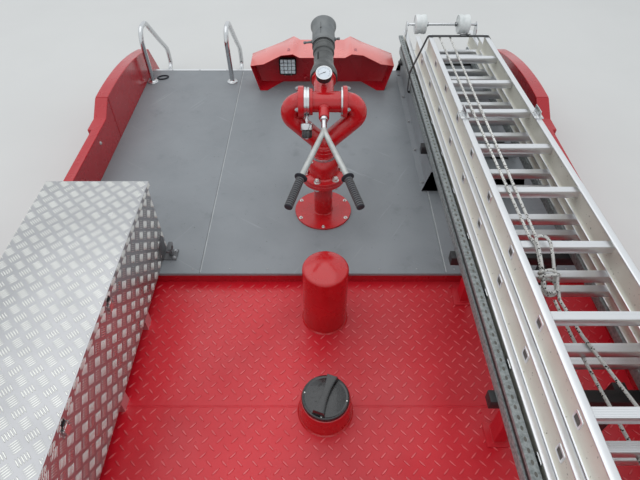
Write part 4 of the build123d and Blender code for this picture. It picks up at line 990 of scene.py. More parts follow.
def make_clamp():
    """Clamp with its swing lever at the locker's rear end."""
    low, _, middle = box_of("locker_clamp")
    side = mm((0, 0), (62, 0), (62, 6), (10, 6), (6, 10), (6, 96), (0, 96))
    clamp = Shape().prism(eased(side, 0.0015, 1), frame_of((0, -1, 0), (low.x, middle.y, low.z)), -0.031, 0.031)
    post = at(low.x + 0.034, middle.y, low.z + 0.006)
    clamp.lathe(mm((0, 0), (10, 0), (10, 6), (6, 8), (6, 44), (0, 48)), post, 16)
    clamp.prism(rounded(-0.031, -0.010, 0.031, 0.010, 0.006), post @ at(0, 0, 0.041) @ turned(90), 0.0, 0.011)
    lever = mm((0, -22, 50), (20, -22, 58), (26, -22, 86))
    clamp.tube(bent([post @ Vector(p) for p in lever], [0.012]), 0.004, 10)
    foot = at(low.x + 0.050, middle.y, low.z + 0.006)
    clamp.rows(hex_bolt(0.012, 0.006, 0.018), foot, 1, 0.02, 2, 0.040, look=1)
    clamp.piece("locker_clamp_lever", "deck", "black_metal", ["cast_grey", "dull_screw"], "locker_clamp", edge=0.0005)


# Tank fittings

def make_tank_fittings():
    """Vent dome, filler neck and the filler cap."""
    low, high, middle = box_of("vent_dome")
    height, radius, base = high.z - low.z, (high.x - low.x) / 2, at(middle.x, middle.y, low.z)
    # The crown is part of a sphere, and an eased shoulder joins it to the wall
    crown, ease = 0.220, 0.014
    centre, hub = height - crown, radius - ease
    lift = centre + ((crown - ease) ** 2 - hub ** 2) ** 0.5
    last = atan2(lift - centre, hub)
    shoulder = [(hub + ease * cos(last * k / 6), lift + ease * sin(last * k / 6)) for k in range(7)]
    rim = shoulder[-1][0]
    cap = [(rim * k / 6, centre + (crown ** 2 - (rim * k / 6) ** 2) ** 0.5) for k in range(5, -1, -1)]
    dome = Shape().lathe([(0, 0), (radius, 0), (radius, height * 0.5)] + shoulder + cap, base, 72)
    dome.bead(radius, base, 0.007)
    dome.piece("vent_dome_shell", "deck", "monitor_red", ["monitor_red"], "vent_dome", angle=50)

    low, high, middle = box_of("filler_neck")
    height, base = high.z - low.z, at(middle.x, middle.y, low.z)
    wall = mm((75, -3.5), (97.5, -3.5), (97.5, 0))
    wall += [(r, height - z) for r, z in mm((89.5, 5), (88.5, 1), (87, 0), (77.5, 0), (75, 2))]
    neck = Shape().lathe(wall, base, 72, closed=True).bead(0.0970, base, 0.006)
    neck.piece("filler_neck_ring", "deck", "monitor_red", ["monitor_red"], "filler_neck", angle=50)

    seat = at(middle.x, middle.y, high.z + 0.0003)
    cap = Shape().lathe(mm((0, -28), (70, -28), (73.5, -25), (73.5, 0), (84, 0), (86, 2), (86, 9), (83.5, 13.5),
                           (79, 15.5), (74.5, 13.5), (72, 13.5), (68, 16), (0, 16)), seat, 72)
    half, steps = 0.075, 12
    upper = [(half * t, 0.0130 + 0.0085 * t ** 2) for t in [2 * k / steps - 1 for k in range(steps + 1)]]
    grip = upper + [(x, -y) for x, y in upper[::-1]]
    levels = ((1.0, 1.08, 0.0), (0.985, 1.0, 0.014), (0.97, 0.9, 0.0255), (0.955, 0.72, 0.0268))
    cap.stack(grip, levels, seat @ at(0, 0, 0.015) @ turned(70))
    drop = raised("drop", oval(0.005, 0.0046, 7), 0.0012, 0.45, 0.0002)
    for x, y, size in (
        (-45, 18, 1.3), (-50, -4, 1.0), (-36, -18, 1.6), (-30, 30, 0.9), (-55, 12, 0.8), (34, 20, 1.1), (46, 4, 0.8),
        (40, -24, 1.2), (52, -12, 0.9), (30, 40, 0.9), (-22, 50, 1.0), (-40, -36, 0.8), (20, -50, 1.0),
    ):
        cap.mesh(drop, seat @ at(x / 1000, y / 1000, 0.0158) @ Matrix.Scale(size, 4), 2)
    cap.ring(pan_screw(0.0062, 0.0025), seat @ at(0, 0, 0.0128), 4, 0.0765, radians(-12))
    cap.piece("filler_cap_disc", "cap", "cap_black", ["wet_black", "bright_screw", "water"], "filler_cap", angle=35)


# Monitor

def make_monitor_stand():
    """Fixed part of the monitor: base plate, riser pipe with its flanges and bolts, and the body under the swivel."""
    axis, joint_z, pipe, thick = at(swivel.x, swivel.y, 0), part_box("monitor_pedestal")[1].z, 0.04445, 0.018
    base, upper, inlet = (axis @ at(0, 0, z) for z in (deck_z, joint_z - thick, thick))
    plate_top = base @ at(0, 0, 0.010)
    stand = Shape()
    plate = mm((44, 0), (137.5, 0), (138.5, 1), (138.5, 9), (137.5, 10), (44, 10))
    stand.lathe(plate, base, 96, closed=True)
    stand.lathe([(0.0405, 0.0), (pipe, 0.0), (pipe, joint_z), (0.0405, joint_z)], axis, 72, closed=True)
    flange = mm((43, 0), (98.5, 0), (100, 1.5), (100, 16.5), (98.5, 18), (43, 18))
    for seat in (axis, upper):
        stand.lathe(flange, seat, 96, closed=True)
    cone = mm((43, -52), (44.6, -52), (47.5, -38), (59, -6), (60, 0), (43, 0))
    stand.lathe(cone, upper, 72, closed=True)
    stand.bead(pipe, plate_top, 0.005).bead(pipe, inlet, 0.006)
    stand.ring(hex_bolt(0.010, 0.006, 0.018, 0.003), plate_top, 6, 0.126, radians(-90))
    head = hex_bolt(0.022, 0.011, 0.030)
    under = frame_of((0, 0, -1), (swivel.x, swivel.y, joint_z - thick))
    stand.ring(head, under, 6, 0.084, radians(-10))
    stand.ring(head, inlet, 8, 0.080, radians(22.5))
    stand.piece("monitor_riser", "deck", "monitor_red", ["monitor_red", "bright_screw"], "monitor_pedestal", angle=35)

    base, top = axis @ at(0, 0, joint_z), swivel.z - joint_z - 0.0003
    plate = mm((0, 0), (98.5, 0), (100, 1.5), (100, 16.5), (98.5, 18), (78, 18.2), (72.5, 21))
    flare = mm((70, 24), (70, 70), (69, 78), (66, 88), (60.5, 99), (56, 106), (53, 110))
    neck = mm((52, 110.5), (52, 127.5), (50, 129), (50, 133), (52, 134.5)) + [(0.0520, top), (0, top)]
    body = Shape().lathe(plate + flare + neck, base, 96)
    band = mm((50, 112.5), (55.8, 112.5), (56.3, 113.5), (56.3, 121.5), (55.8, 122.5), (50, 122.5))
    body.lathe(band, base, 72, 1, closed=True)
    body.ring(hex_bolt(0.024, 0.012, 0.032, 0.007), base @ at(0, 0, thick), 6, 0.084, radians(10), 2)
    grease = frame_of((-0.8, -0.6, 0.0), (swivel.x - 0.056 * 0.8, swivel.y - 0.056 * 0.6, joint_z + 0.098))
    body.lathe(mm((0, 0), (5, 0), (5, 8), (3, 10), (3, 14), (0, 15)), grease, 12, 2)
    keys = ["monitor_red", "stainless", "bright_screw"]
    body.piece("monitor_swivel_body", "deck", "monitor_red", keys, "monitor_base", angle=35)


def make_monitor_head():
    """Turning part: hub and pair of curved pipes with their flanges, bright swivel rings and the locking knob."""
    hub = mm((0, 0), (54.5, 0), (55, 0.5), (55, 12), (52, 14), (52, 18), (55, 20), (55, 30), (51.5, 33), (51.5, 36),
             (54, 39), (50, 48), (0, 48))
    head = Shape().lathe(hub, at(*swivel), 72)
    # Each pipe leaves the crotch at 45 degrees and comes round an arc to its flange
    crotch, arc_x, arc_z, reach, pipe, flange = mm(558.3, 91, 720, 50, 40, 63.5)
    for sign, face, thick in ((-1, -0.082, 0.023), (1, 0.0775, 0.018)):
        arc = [radians(-45 + 135 * k / 18) for k in range(19)]
        path = [(0, crotch), (0.0632, crotch + 0.0632)]
        path += [(arc_x + reach * cos(a), arc_z + reach * sin(a)) for a in arc] + [(abs(face), arc_z + reach)]
        head.tube([(swivel.x + sign * x, swivel.y, z) for x, z in path], pipe, 48)
        end = frame_of((sign, 0, 0), (swivel.x + face, cross.y, cross.z), (0, 1, 0))
        head.lathe([(0, 0), (flange - 0.001, 0), (flange, 0.001), (flange, thick - 0.0012),
                    (flange - 0.0012, thick), (0, thick)], end, 72)
        face_out = end @ at(0, 0, thick)
        head.bead(pipe, face_out, 0.0055, 56)
        head.ring(hex_bolt(0.014, 0.008, 0.020, 0.004), face_out, 3, 0.0525, radians(sign * 65.6))
    keys = ["monitor_red", "dull_screw"]
    head.piece("monitor_curved_pipes", "monitor_head", "monitor_red", keys, "branch_pipes", angle=35)

    rings, r = Shape(), 0.059
    for sign, face, w, groove in (
        (1, -0.082, 0.0227, [(r, 0.0095), (r - 0.004, 0.0105), (r - 0.004, 0.0135), (r, 0.0145)]),
        (-1, 0.0775, 0.0082, []),
    ):
        section = [(0, 0), (r - 0.001, 0), (r, 0.001), *groove, (r, w - 0.001), (r - 0.001, w), (0, w)]
        rings.lathe(section, frame_of((sign, 0, 0), (swivel.x + face, cross.y, cross.z)), 96)
    rings.piece("monitor_swivel_bands", "monitor_head", "stainless", ["stainless"], "swivel_rings", angle=35)

    down = radians(53.6)
    outward = Vector((0, -cos(down), -sin(down)))
    seat = frame_of(outward, Vector((swivel.x - 0.0705, cross.y, cross.z)) + outward * 0.0593)
    knob = Shape()
    knob.lathe(mm((0, 0), (6, 0), (6, 10), (8.5, 10), (8.5, 18), (6, 18), (6, 27), (0, 27)), seat, 24, 1)
    knob.lathe(mm((0, 27), (23.5, 27), (26.2, 29.5), (27, 34), (27, 49), (25.5, 54.5), (21, 57), (0, 57)),
               seat, 48, 1)
    knob.lathe(mm((0, 88.5), (6.5, 88.5), (6.5, 90.5), (4.5, 92.5), (0, 92.5)), seat, 20, 1)
    radii = [(a, 0.0195 + 0.0022 * cos(6 * a)) for a in angles(48)]
    levels = ((0.0570, 0.90), (0.0595, 1.0), (0.0800, 1.0), (0.0865, 0.86), (0.0890, 0.55))
    knob.stack([(r * cos(a), r * sin(a)) for a, r in radii], [(scale, scale, z) for z, scale in levels], seat)
    keys = ["wet_black", "stainless"]
    knob.piece("monitor_lock_knob", "monitor_head", "black_metal", keys, "lock_knob", angle=35)


def make_monitor_barrel():
    """Tilting part: cross pipe with its outlet, nozzle, pressure gauge, and aiming handle with its grips."""
    barrel, stub = frame_of(aim, cross, (-1, 0, 0)), frame_of(-aim, cross, (-1, 0, 0))
    pipe = Shape()
    pipe.lathe(mm((0, 0), (53, 0), (54, 1), (54, 12), (53, 13), (42.5, 13.5), (42.5, 121.5), (43.5, 124.5),
                  (43.5, 128), (0, 128)), frame_of((1, 0, 0), (cross.x - 0.059, cross.y, cross.z)), 72)
    pipe.lathe(mm((0, 0), (42.5, 0), (42.5, 118), (46, 121), (52, 123), (52, 134.5), (0, 134.5)), barrel, 72)
    pipe.lathe(mm((0, 0), (21.5, 0), (21.5, 89), (20, 91.8), (0, 91.8)), stub)
    pipe.tube([stub @ Vector((0, 0, z)) for z in (0.0405, 0.0475)], mm(26.2, 22.2), 40)
    for x in (-0.036, 0.036):
        web = frame_of((-1, 0, 0), barrel @ Vector((x, 0, 0)), aim)
        pipe.prism(mm((30, 20), (112, 30), (112, 40.5), (40, 47)), web, -0.003, 0.003)
    pipe.piece("monitor_cross_pipe", "monitor_barrel", "monitor_red", ["monitor_red"], "cross_pipe", angle=35)
    make_nozzle(barrel)
    make_gauge(barrel)
    make_handle()


def spoke(barrel, degrees, radius, height):
    """Outward direction and place on the barrel's side."""
    turn = barrel @ turned(degrees)
    return turn.to_3x3() @ Vector((1, 0, 0)), turn @ Vector((radius, 0, height))


def make_nozzle(barrel):
    """Black nozzle: ribbed base and the pattern sleeve with its pins."""
    outer = mm((25, 135), (56.5, 135), (58, 137), (58, 164), (56.5, 168), (47, 203), (44, 213), (43, 217), (43, 262),
               (42, 263), (42, 266), (43, 267), (42.1, 290), (46, 292.5), (47, 295), (47, 318), (45.8, 319.5),
               (45.8, 322.5), (47, 324), (46.8, 337.8), (25, 337.8))
    base = Shape().lathe(outer, barrel, 80, closed=True)
    for turn in (56, 236):
        face = frame_of(*spoke(barrel, turn, 0.0424, 0.240), aim)
        base.prism(rounded(-0.022, -0.0042, 0.022, 0.0042, 0.004), face, -0.002, 0.0012, 1)
    base.ring(pan_screw(0.006, 0.002), barrel @ at(0, 0, 0.150), 1, 0.03, look=0)
    keys = ["nozzle_black", "dark_gap"]
    base.piece("nozzle_base", "monitor_barrel", "nozzle_black", keys, "nozzle_body", angle=35)

    outer = mm((44, 339), (48.5, 339), (50, 341.5), (50, 350), (49.2, 351), (49.2, 354), (50.4, 355.5), (51, 362),
               (51.2, 449), (53, 458), (56.5, 470), (59, 479), (59, 483.5), (57.5, 485), (47.5, 485), (44, 482.5))
    sleeve = Shape().lathe(outer, barrel, 96, closed=True)
    sleeve.lathe(mm((48.5, 339.2), (50.8, 339.6), (50.8, 345), (48.5, 345.4)), barrel, 80, 1, closed=True)
    line = barrel @ turned(76)
    for start, end, r in ((0.372, 0.405, 0.0513), (0.415, 0.448, 0.0514)):
        sleeve.tube([line @ Vector((r - 0.0004, 0, start)), line @ Vector((r - 0.0002, 0, end))], 0.0008, 6, 1)
    dot = frame_of(*spoke(barrel, 76, 0.0510, 0.410))
    sleeve.lathe(mm((0, 0), (3.5, 0), (3.5, 1.4), (0, 1.6)), dot, 14, 1)
    for turn, reach in ((-8, 0.034), (172, 0.016)):
        pin = mm((0, 0), (9, 0), (9, 4), (5.5, 6))
        pin += [(r, reach + z) for r, z in mm((4.5, -4), (6.2, -2), (6.2, 6), (4, 8), (0, 8))]
        sleeve.lathe(pin, frame_of(*spoke(barrel, turn, 0.0500, 0.385), aim), 18)
    keys = ["sleeve_grey", "dark_gap"]
    sleeve.piece("nozzle_pattern_sleeve", "monitor_barrel", "nozzle_black", keys, "nozzle_sleeve", angle=35)


def make_gauge(barrel):
    """Pressure gauge: black case, bright bezel, white dial with its scale and needle, and the stem."""
    lean = elevation + radians(12)
    face = frame_of((0, -sin(lean), cos(lean)), barrel @ Vector((0, 0.098, 0.062)))
    gauge = Shape()
    gauge.lathe(mm((0, -32), (29, -32), (31.5, -30), (31.5, -6), (33, -5), (33, -1), (0, -1)), face, 56)
    bezel = mm((28.5, -1.5), (32.5, -1.5), (33, -0.5), (32.5, 0), (30, 0), (28.5, -1.2))
    gauge.lathe(bezel, face, 56, 1, closed=True)
    gauge.lathe(disc(0.0288, -0.0012, -0.0007), face, 48, 2)
    for k in range(28):
        start = 0.0205 if k % 3 == 0 else 0.0225
        gauge.block((start, -0.0004, -0.0007), (0.0252, 0.0004, -0.00045), face @ turned(225 - 270 * k / 27), 3)
    needle = mm((-8, -1.6), (23, -0.5), (23, 0.5), (-8, 1.6))
    gauge.prism(needle, face @ turned(205), -0.00045, -0.0002, 3)
    gauge.lathe(mm((0, -0.5), (2.6, -0.5), (2.2, 0), (0, 0)), face, 16, 3)
    stem = frame_of(face.to_3x3() @ Vector((0, 0, -1)), face @ Vector((0, 0, -0.032)))
    gauge.lathe(disc(0.008, 0, 0.0155), stem, 24, 1)
    gauge.lathe(disc(0.011, 0.004, 0.012), stem, 6, 1)
    keys = ["black_metal", "stainless", "dial_white", "dial_ink"]
    gauge.piece("monitor_gauge", "monitor_barrel", "gauge_white", keys, "pressure_gauge", angle=35)


def make_handle():
    """Forked aiming handle and its ribbed grips."""
    back = frame_of(-aim, cross)
    handle, grips = Shape(), Shape()
    socket = mm((0, 92.3), (16, 92.3), (16.5, 93), (16.5, 105), (16, 106.3), (11, 106.8), (11, 160), (0, 160))
    handle.lathe(socket, back, 40, 1)
    section = mm((11.5, -2.3), (15, -2.1), (16, -1), (16, 1), (15, 2.1), (11.5, 2.3))
    rib = Shape().lathe(section, turned(90, "Y"), 28, closed=True).data("rib")
    route = mm((0, 150), (4.5, 172), (78.5, 368), (83, 380), (86.9, 392), (129.5, 523.5))
    grip = mm((11.3, 0), (23.5, 0), (25, 0.8), (25, 3.2), (23.5, 4), (14, 5.6), (11.8, 8), (11.8, 139), (15, 140),
              (15.5, 141.5), (14, 143.8), (0, 144), (0, 142.5), (11.3, 142.5))
    for sign in (-1, 1):
        handle.tube([back @ Vector((sign * x, 0, z)) for x, z in route], 0.011, 28)
        outer, inner = Vector((sign * 0.130, 0, 0.525)), Vector((sign * 0.083, 0, 0.380))
        along = (outer - inner).normalized()
        seat = frame_of(back.to_3x3() @ along, back @ (outer + along * 0.002 - along * 0.144))
        grips.lathe(grip, seat, 36)
        grips.rows(rib, seat @ at(0, 0, 0.0740) @ turned(-90, "Y"), 15, 0.0088, look=1)
    keys = ["handle_silver", "stainless"]
    handle.piece("monitor_handle_fork", "monitor_barrel", "stainless", keys, "aiming_handle", angle=35)
    keys = ["rubber", "rib_rubber"]
    grips.piece("monitor_handle_grips", "monitor_barrel", "grip_rubber", keys, "handle_grips", angle=35)


# Ladders and what carries them

def stile_outline():
    """Half-round flanges and a web that is thinner in the middle: outline about the stile's centre, top at zero."""
    half = stile_flange / 2
    right = [(half - x, z) for x, z in mm((3, 0), (0.6, -1.2), (0, -3), (0.4, -5.2), (3, -6.4))]
    right += mm((7.5, -8.8), (4.2, -12.5), (2.6, -18))
    right += [(x, -stile_height - z) for x, z in right[::-1]]
    return right + [(-x, z) for x, z in right[::-1]]


def rung_item(length):
    """Square rung along Y with rounded corners and anti-slip ribs along it."""
    half, corner, ribs = rung_size / 2, 0.003, 7
    outline = []
    for k in range(ribs):
        x = half * 0.84 * (2 * k / (ribs - 1) - 1)
        outline += [(x - 0.0011, 0.0), (x + 0.0011, 0.0)]
        if k < ribs - 1:
            outline += [(x + 0.0017, -0.0009), (x + half * 0.28 - 0.0017, -0.0009)]
    bottom = [(half, -corner), (half, corner - rung_size), (half - corner, -rung_size)]
    bottom += [(-x, z) for x, z in bottom[::-1]]
    return Shape().prism(outline + bottom, upright, -length / 2, length / 2).data("rung")


def rung_marks():
    """Flared rung end on the outside of a stile, and the dark hollow in it."""
    outer = rounded(-0.020, -0.018, 0.020, 0.018, 0.007, 4)
    inner = rounded(-0.0135, -0.011, 0.0135, 0.011, 0.004, 4)
    levels = ((outer, 1, 0.0), (outer, 0.94, 0.0022), (inner, 1, 0.0022), (inner, 1, 0.0))
    flare = Shape().loft([[(x * scale, y * scale, z) for x, y in ring] for ring, scale, z in levels], closed=True)
    return flare.data("rung_ring"), Shape().prism(inner, Matrix(), 0.0, 0.0006).data("rung_hollow")


def make_ladders():
    """Three extension ladder sections: rounded stiles, ribbed rungs and the rungs' ends."""
    profile, web_half, flange_depth = stile_outline(), 0.0085, 0.004

    def side_look(a, b):
        """Bright flanges and a duller web between them."""
        x, z = abs((a[0] + b[0]) / 2), (a[1] + b[1]) / 2
        return 0 if x > web_half or z > -flange_depth or z < flange_depth - stile_height else 1

    for level, (label, front, rear, rung, left, right) in enumerate(ladder_sections):
        top = -level * ladder_drop
        section = Shape()
        for x in (left, right):
            section.prism(profile, ladders @ at(x, 0, top) @ upright, front, rear, 0, side_look)
        first = ceil((front + rung_size - rung) / rung_pitch)
        last = floor((rear - rung_size - rung) / rung_pitch)
        count, middle = last - first + 1, rung + (first + last) / 2 * rung_pitch
        seat = ladders @ at((left + right) / 2, middle, top - rung_drop) @ turned(90)
        section.rows(rung_item(right - left - 0.004), seat, count, rung_pitch)
        mark, hole = rung_marks()
        for side, x in ((-1, left), (1, right)):
            out = frame_of((side, 0, 0), across=(0, 1, 0))
            place = ladders @ at(x + side * 0.0027, middle, top - stile_height / 2 - 0.002) @ out
            section.rows(mark, place, count, rung_pitch)
            section.rows(hole, place, count, rung_pitch, look=2)
        keys = ["aluminium", "web_aluminium", "slot_shade"]
        section.piece("ladder_%s_section" % label, "deck", "ladder_aluminium", keys, "ladder_" + label, angle=50)


def make_rack():
    """Galvanised rack rails with their perforations, black supports, head rollers, guide brackets and strap."""
    dressed("rack_rails", 0.002, ["zinc"])
    rack = dressed("rack_supports", 0.0015, ["black_metal", "tank_red", "deck_grey"])
    under, feet = ladders.inverted(), -0.371
    for face in rack.data.polygons:
        if face.center.x < ladder_origin.x and (under @ face.center).z < feet:
            face.material_index = 1 if face.center.y < 0 else 2
    dressed("pipe_hood", 0.0015, ["deck_grey"])
    low, high, middle = box_of("pipe_hood")
    bolts = Shape()
    for x in (low.x + 0.014, high.x - 0.014):
        bolts.rows(hex_bolt(0.013, 0.006, 0.020), at(x, middle.y, deck_z + 0.003), 1, 0.1, 5, 0.287)
    bolts.piece("pipe_hood_bolts", "deck", "zinc", ["dull_screw"])
    legs, dots = Shape(), Shape()
    slot = Shape().prism(oval(0.014, 0.008, 12), Matrix(), -0.0004, 0.0004).data("slot")
    top, foot = -0.2080, -stack_height - 0.0405
    for side, near in ((-1, 0.2300), (1, 0.2375)):
        far = near + 0.0275
        channel = [(near, top - 0.014), (near, top - 0.002), (near + 0.002, top), (far - 0.002, top),
                   (far, top - 0.002), (far, top - 0.014)]
        plate = [(near + 0.002, foot), (near + 0.002, top - 0.0135), (near + 0.008, top - 0.0135),
                 (near + 0.008, foot)]
        for part, outline in enumerate((channel, plate)):
            outline = [(side * x, z) for x, z in outline]
            legs.prism(outline if side < 0 else outline[::-1], ladders @ upright, -1.820, 1.840, part)
        dots.rows(slot, ladders @ at(side * (near + far) / 2, 0.010, top) @ turned(90), 121, 0.030)
    legs.piece("rack_upright_channels", "deck", "zinc", ["zinc", "black_metal"], angle=35)
    dots.piece("rack_rail_perforations", "deck", "zinc", ["slot_shade"])
    make_rollers()
    make_brackets()
    make_strap()


def make_rollers():
    """White head rollers with their axle and its plates."""
    seat = ladders @ at(0, 1.782, -2 * ladder_drop + 0.075)
    width = 0.070
    half = mm((8.5, 0), (24, 0), (26, 3), (50, 3), (53, 0), (56.5, 2), (58, 6), (58, 22), (55.5, 28))
    section = half + [(0.0545, width / 2)] + [(r, width - z) for r, z in half[::-1]]
    roller = Shape()
    for side in (-1, 1):
        roller.lathe(section, seat @ frame_of((1, 0, 0), (side * 0.137 - width / 2, 0, 0)), 56, closed=True)
    roller.piece("ladder_head_wheels", "deck", "roller_white", ["white_plastic"], "head_rollers", angle=35)
    axle = Shape().lathe(disc(0.008, 0, 2 * rack_half), seat @ frame_of((1, 0, 0), (-rack_half, 0, 0)), 24)
    plate = eased(mm((-30, -75), (30, -75), (30, -20), (14, 16), (-14, 16), (-30, -20)), 0.008, 4)
    for side in (-1, 1):
        face = seat @ frame_of((side, 0, 0), (side * rack_half, 0, 0), (0, side, 0))
        axle.prism(plate, face, -0.0025, 0.0025)
        axle.mesh(hex_bolt(0.018, 0.008, 0.024), face @ at(0, 0, -0.0025) @ turned(180, "X"))
        for x in (-0.092, 0.092):
            axle.lathe(disc(0.014, 0, 0.010), seat @ frame_of((1, 0, 0), (x - 0.005, 0, 0)), 24)
    axle.piece("ladder_wheel_axle", "deck", "zinc", ["stainless"], "roller_axle", edge=0.0004)


def make_brackets():
    """Folded guide brackets on the top section's stiles, with their rivets."""
    brackets = Shape()
    outline = mm((-19, 0), (19, 0), (19, 4), (4.5, 4), (2, 6.5), (2, 34), (-2, 34), (-2, 6.5), (-4.5, 4), (-19, 4))
    for x in top_stiles:
        seat = ladders @ at(x, 0.417, 0)
        brackets.prism(outline, seat @ upright, -0.032, 0.032)
        for across in (-0.0115, 0.0115):
            brackets.rows(pan_screw(0.009, 0.003), seat @ at(across, 0, 0.004), 1, 0.02, 2, 0.040, look=1)
    keys = ["stainless", "bright_screw"]
    brackets.piece("ladder_guide_brackets", "deck", "zinc", keys, "guide_brackets", edge=0.0005)


def make_strap():
    """Black strap round the stack, with its ratchet buckle on the top section."""
    slack, thick, width = 0.0003, 0.0025, 0.025
    left, right = top_stiles
    foot = -stack_height - 0.041 - slack
    route = eased([(left - 0.0128, slack), (-0.2580, -0.2078), (-0.2580, foot), (0.2655, foot), (0.2655, -0.2078),
                   (right + 0.0128, slack)], 0.010, 4)
    centre = Vector((0, -stack_height / 2))
    outer = []
    for k, p in enumerate(route):
        along = (route[(k + 1) % len(route)] - route[k - 1]).normalized()
        normal = Vector((-along.y, along.x))
        outer.append(p + (-normal if normal.dot(p - centre) < 0 else normal) * thick)
    seat = ladders @ at(0, 1.268, 0) @ upright
    rings = ((route, 0.0), (outer, 0.0), (outer, width), (route, width))
    strap = Shape().loft([[seat @ Vector((p.x, p.y, y)) for p in ring] for ring, y in rings], closed=True)
    buckle = ladders @ at(0.020, 1.2805, 0.0032)
    strap.prism(rounded(-0.028, -0.016, 0.028, 0.016, 0.004), buckle, 0.0, 0.004, 1)
    strap.tube([buckle @ Vector((0.010, y, 0.006)) for y in (-0.017, 0.017)], 0.005, 14, 1)
    strap.piece("ladder_stack_strap", "deck", "strap_black", ["webbing", "black_metal"], "ladder_strap", angle=40)


# Halyard

def smooth_route(points):
    """Points along a smooth NURBS spline that has these points as its control points."""
    curve = bpy.data.curves.new("route", "CURVE")
    curve.dimensions = "3D"
    spline = curve.splines.new("NURBS")
    spline.points.add(len(points) - 1)
    for point, place in zip(spline.points, points):
        point.co = (*place, 1)
    spline.order_u = 3
    spline.use_endpoint_u = True
    spline.resolution_u = 6
    holder = placed("route", curve)
    bpy.context.view_layer.update()
    path = [v.co.copy() for v in bpy.data.meshes.new_from_object(holder).vertices]
    bpy.data.objects.remove(holder)
    return path


def rope_piece(name, paths, replaces):
    """Braided rope along paths, with a UV map that runs along it and round it."""
    radius, sides = settings()[1].rope / 2, 14
    shape, marks = Shape(), []
    for path in paths:
        shape.tube(path, radius, sides)
        travelled = 0.0
        for k, point in enumerate(path):
            travelled += (point - path[k - 1]).length if k else 0.0
            marks += [travelled / (2 * pi * radius)] * sides
    mesh = shape.data(name, ["rope"])
    layer = mesh.uv_layers.new(name="along")
    corners = [loop.vertex_index for loop in mesh.loops]
    for polygon in mesh.polygons:
        turns = [corners[k] % sides for k in polygon.loop_indices]
        wraps = max(turns) - min(turns) > sides / 2 and len(turns) == 4
        for k, turn in zip(polygon.loop_indices, turns):
            lap = sides if wraps and turn < sides / 2 else 0
            layer.data[k].uv = (marks[corners[k]], (turn + lap) / sides)
    return settle(placed(name, mesh), "deck", replaces, angle=70)


def hank_route():
    """Control points of the spare halyard: two long loops hung over a rung, wrapped and led on to the tail."""
    first, mid, last = Vector((-0.345, -0.0087)), Vector((-0.400, 0.002)), Vector((-0.508, -0.084))
    arm = 0.0195

    def place(t, across, lift, beyond=0.0):
        """Point by distance down the hank, across it, above it and beyond its end."""
        spot = first * (1 - t) ** 2 + mid * 2 * t * (1 - t) + last * t ** 2
        along = ((mid - first) * (1 - t) + (last - mid) * t).normalized()
        up = Vector((-along.y, along.x))
        if up.y < 0:
            up = -up
        spot = spot + up * lift + along * beyond
        return ladders @ Vector((-0.0895 + across, spot.x, spot.y))

    route = [ladders @ Vector((-0.114, -0.338, -0.0087)), place(0.05, -0.0235, 0.0)]

    def run(start, end, side, low, high, count=8):
        """One long arm of a loop."""
        for k in range(count):
            share = (k + 0.5) / count
            t = start + (end - start) * share
            route.append(place(t, side * (arm + 0.0015 * sin(5 * t + side)), low + (high - low) * share))

    def fold(t, side, lift, reach, flare, rise=0.0, count=12):
        """Round the end of the hank from one side to the other."""
        for k in range(count):
            angle = pi * (k + 0.5) / count
            wide = (arm + flare * sin(angle)) * cos(angle)
            route.append(place(t, side * wide, lift + rise * k / (count - 1), reach * sin(angle)))

    run(0.12, 0.88, -1, 0.0, 0.0)
    fold(0.92, -1, 0.0, 0.0215, 0.003)
    run(0.88, 0.18, 1, 0.0006, 0.0105)
    fold(0.12, 1, 0.0108, -0.020, 0.002, 0.0008)
    run(0.18, 0.84, -1, 0.0110, 0.0112)
    fold(0.89, -1, 0.0112, 0.0215, 0.003)
    # Up on to the bundle, round it in wraps, then along its side to the tail: down the hank, across it and above it
    for t, across, lift in (
        (0.855, 0.0195, 0.0120), (0.810, 0.0195, 0.0145), (0.768, 0.0185, 0.0185), (0.733, 0.0135, 0.0228),
        (0.712, 0.0045, 0.0250), (0.706, -0.0065, 0.0256),
    ):
        route.append(place(t, across, lift))
    wrap = mm((-18.5, 24.2), (-26.5, 18.5), (-28.5, 9.5), (-28, 0), (-23, -8.2), (-13, -11.5), (0, -11.8),
              (13, -11.5), (23, -8.2), (28, 0), (28.5, 10), (26, 18.5), (18.5, 24.2), (6.5, 26.2), (-6.5, 26.2))
    for k in range(22):
        route.append(place(0.712 + 0.004 * (k + 1), *wrap[k % len(wrap)]))
    for t, across, lift in (
        (0.812, 0.0115, -0.0118), (0.838, 0.0200, -0.0105), (0.880, 0.0255, -0.0080), (0.925, 0.0275, -0.0045),
        (0.965, 0.0270, -0.0010),
    ):
        route.append(place(t, across, lift))
    return route + [place(1.0, 0.0255, 0.003, 0.004), ladders @ Vector((-0.066, -0.5226, -0.085))]


def make_halyard():
    """Halyard: the tight lines and tails, and the hank of spare rope over a top rung."""
    lift = 0.0053
    level = -rung_drop + lift
    over, under = level - ladder_drop, -ladder_drop - rung_drop - rung_size - lift
    lines = []
    for start, end in ((-0.118, -0.118), (-0.098, -0.060)):
        lines.append([ladders @ Vector((start + (end - start) * k / 24, -0.338 + 1.628 * k / 24, level))
                      for k in range(25)])
    for start, route, height in (
        ((-0.066, -0.085), ((-0.036, -0.640), (0.040, -0.938)), over),
        ((-0.080, -0.088), ((-0.040, -0.650), (0.010, -1.218)), under),
    ):
        points = [(start[0], -0.5226, start[1])] + [(x, y, height) for x, y in route]
        lines.append(bent([ladders @ Vector(p) for p in points], [0.12], 10))
    rope_piece("halyard_tight_lines", lines, ("halyard_lines",))
    path = smooth_route(hank_route())
    hank = rope_piece("halyard_spare_hank", [path], ("halyard_hank",))
    length = sum((b - a).length for a, b in zip(path[:-1], path[1:]))
    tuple(path[0])


# Stage

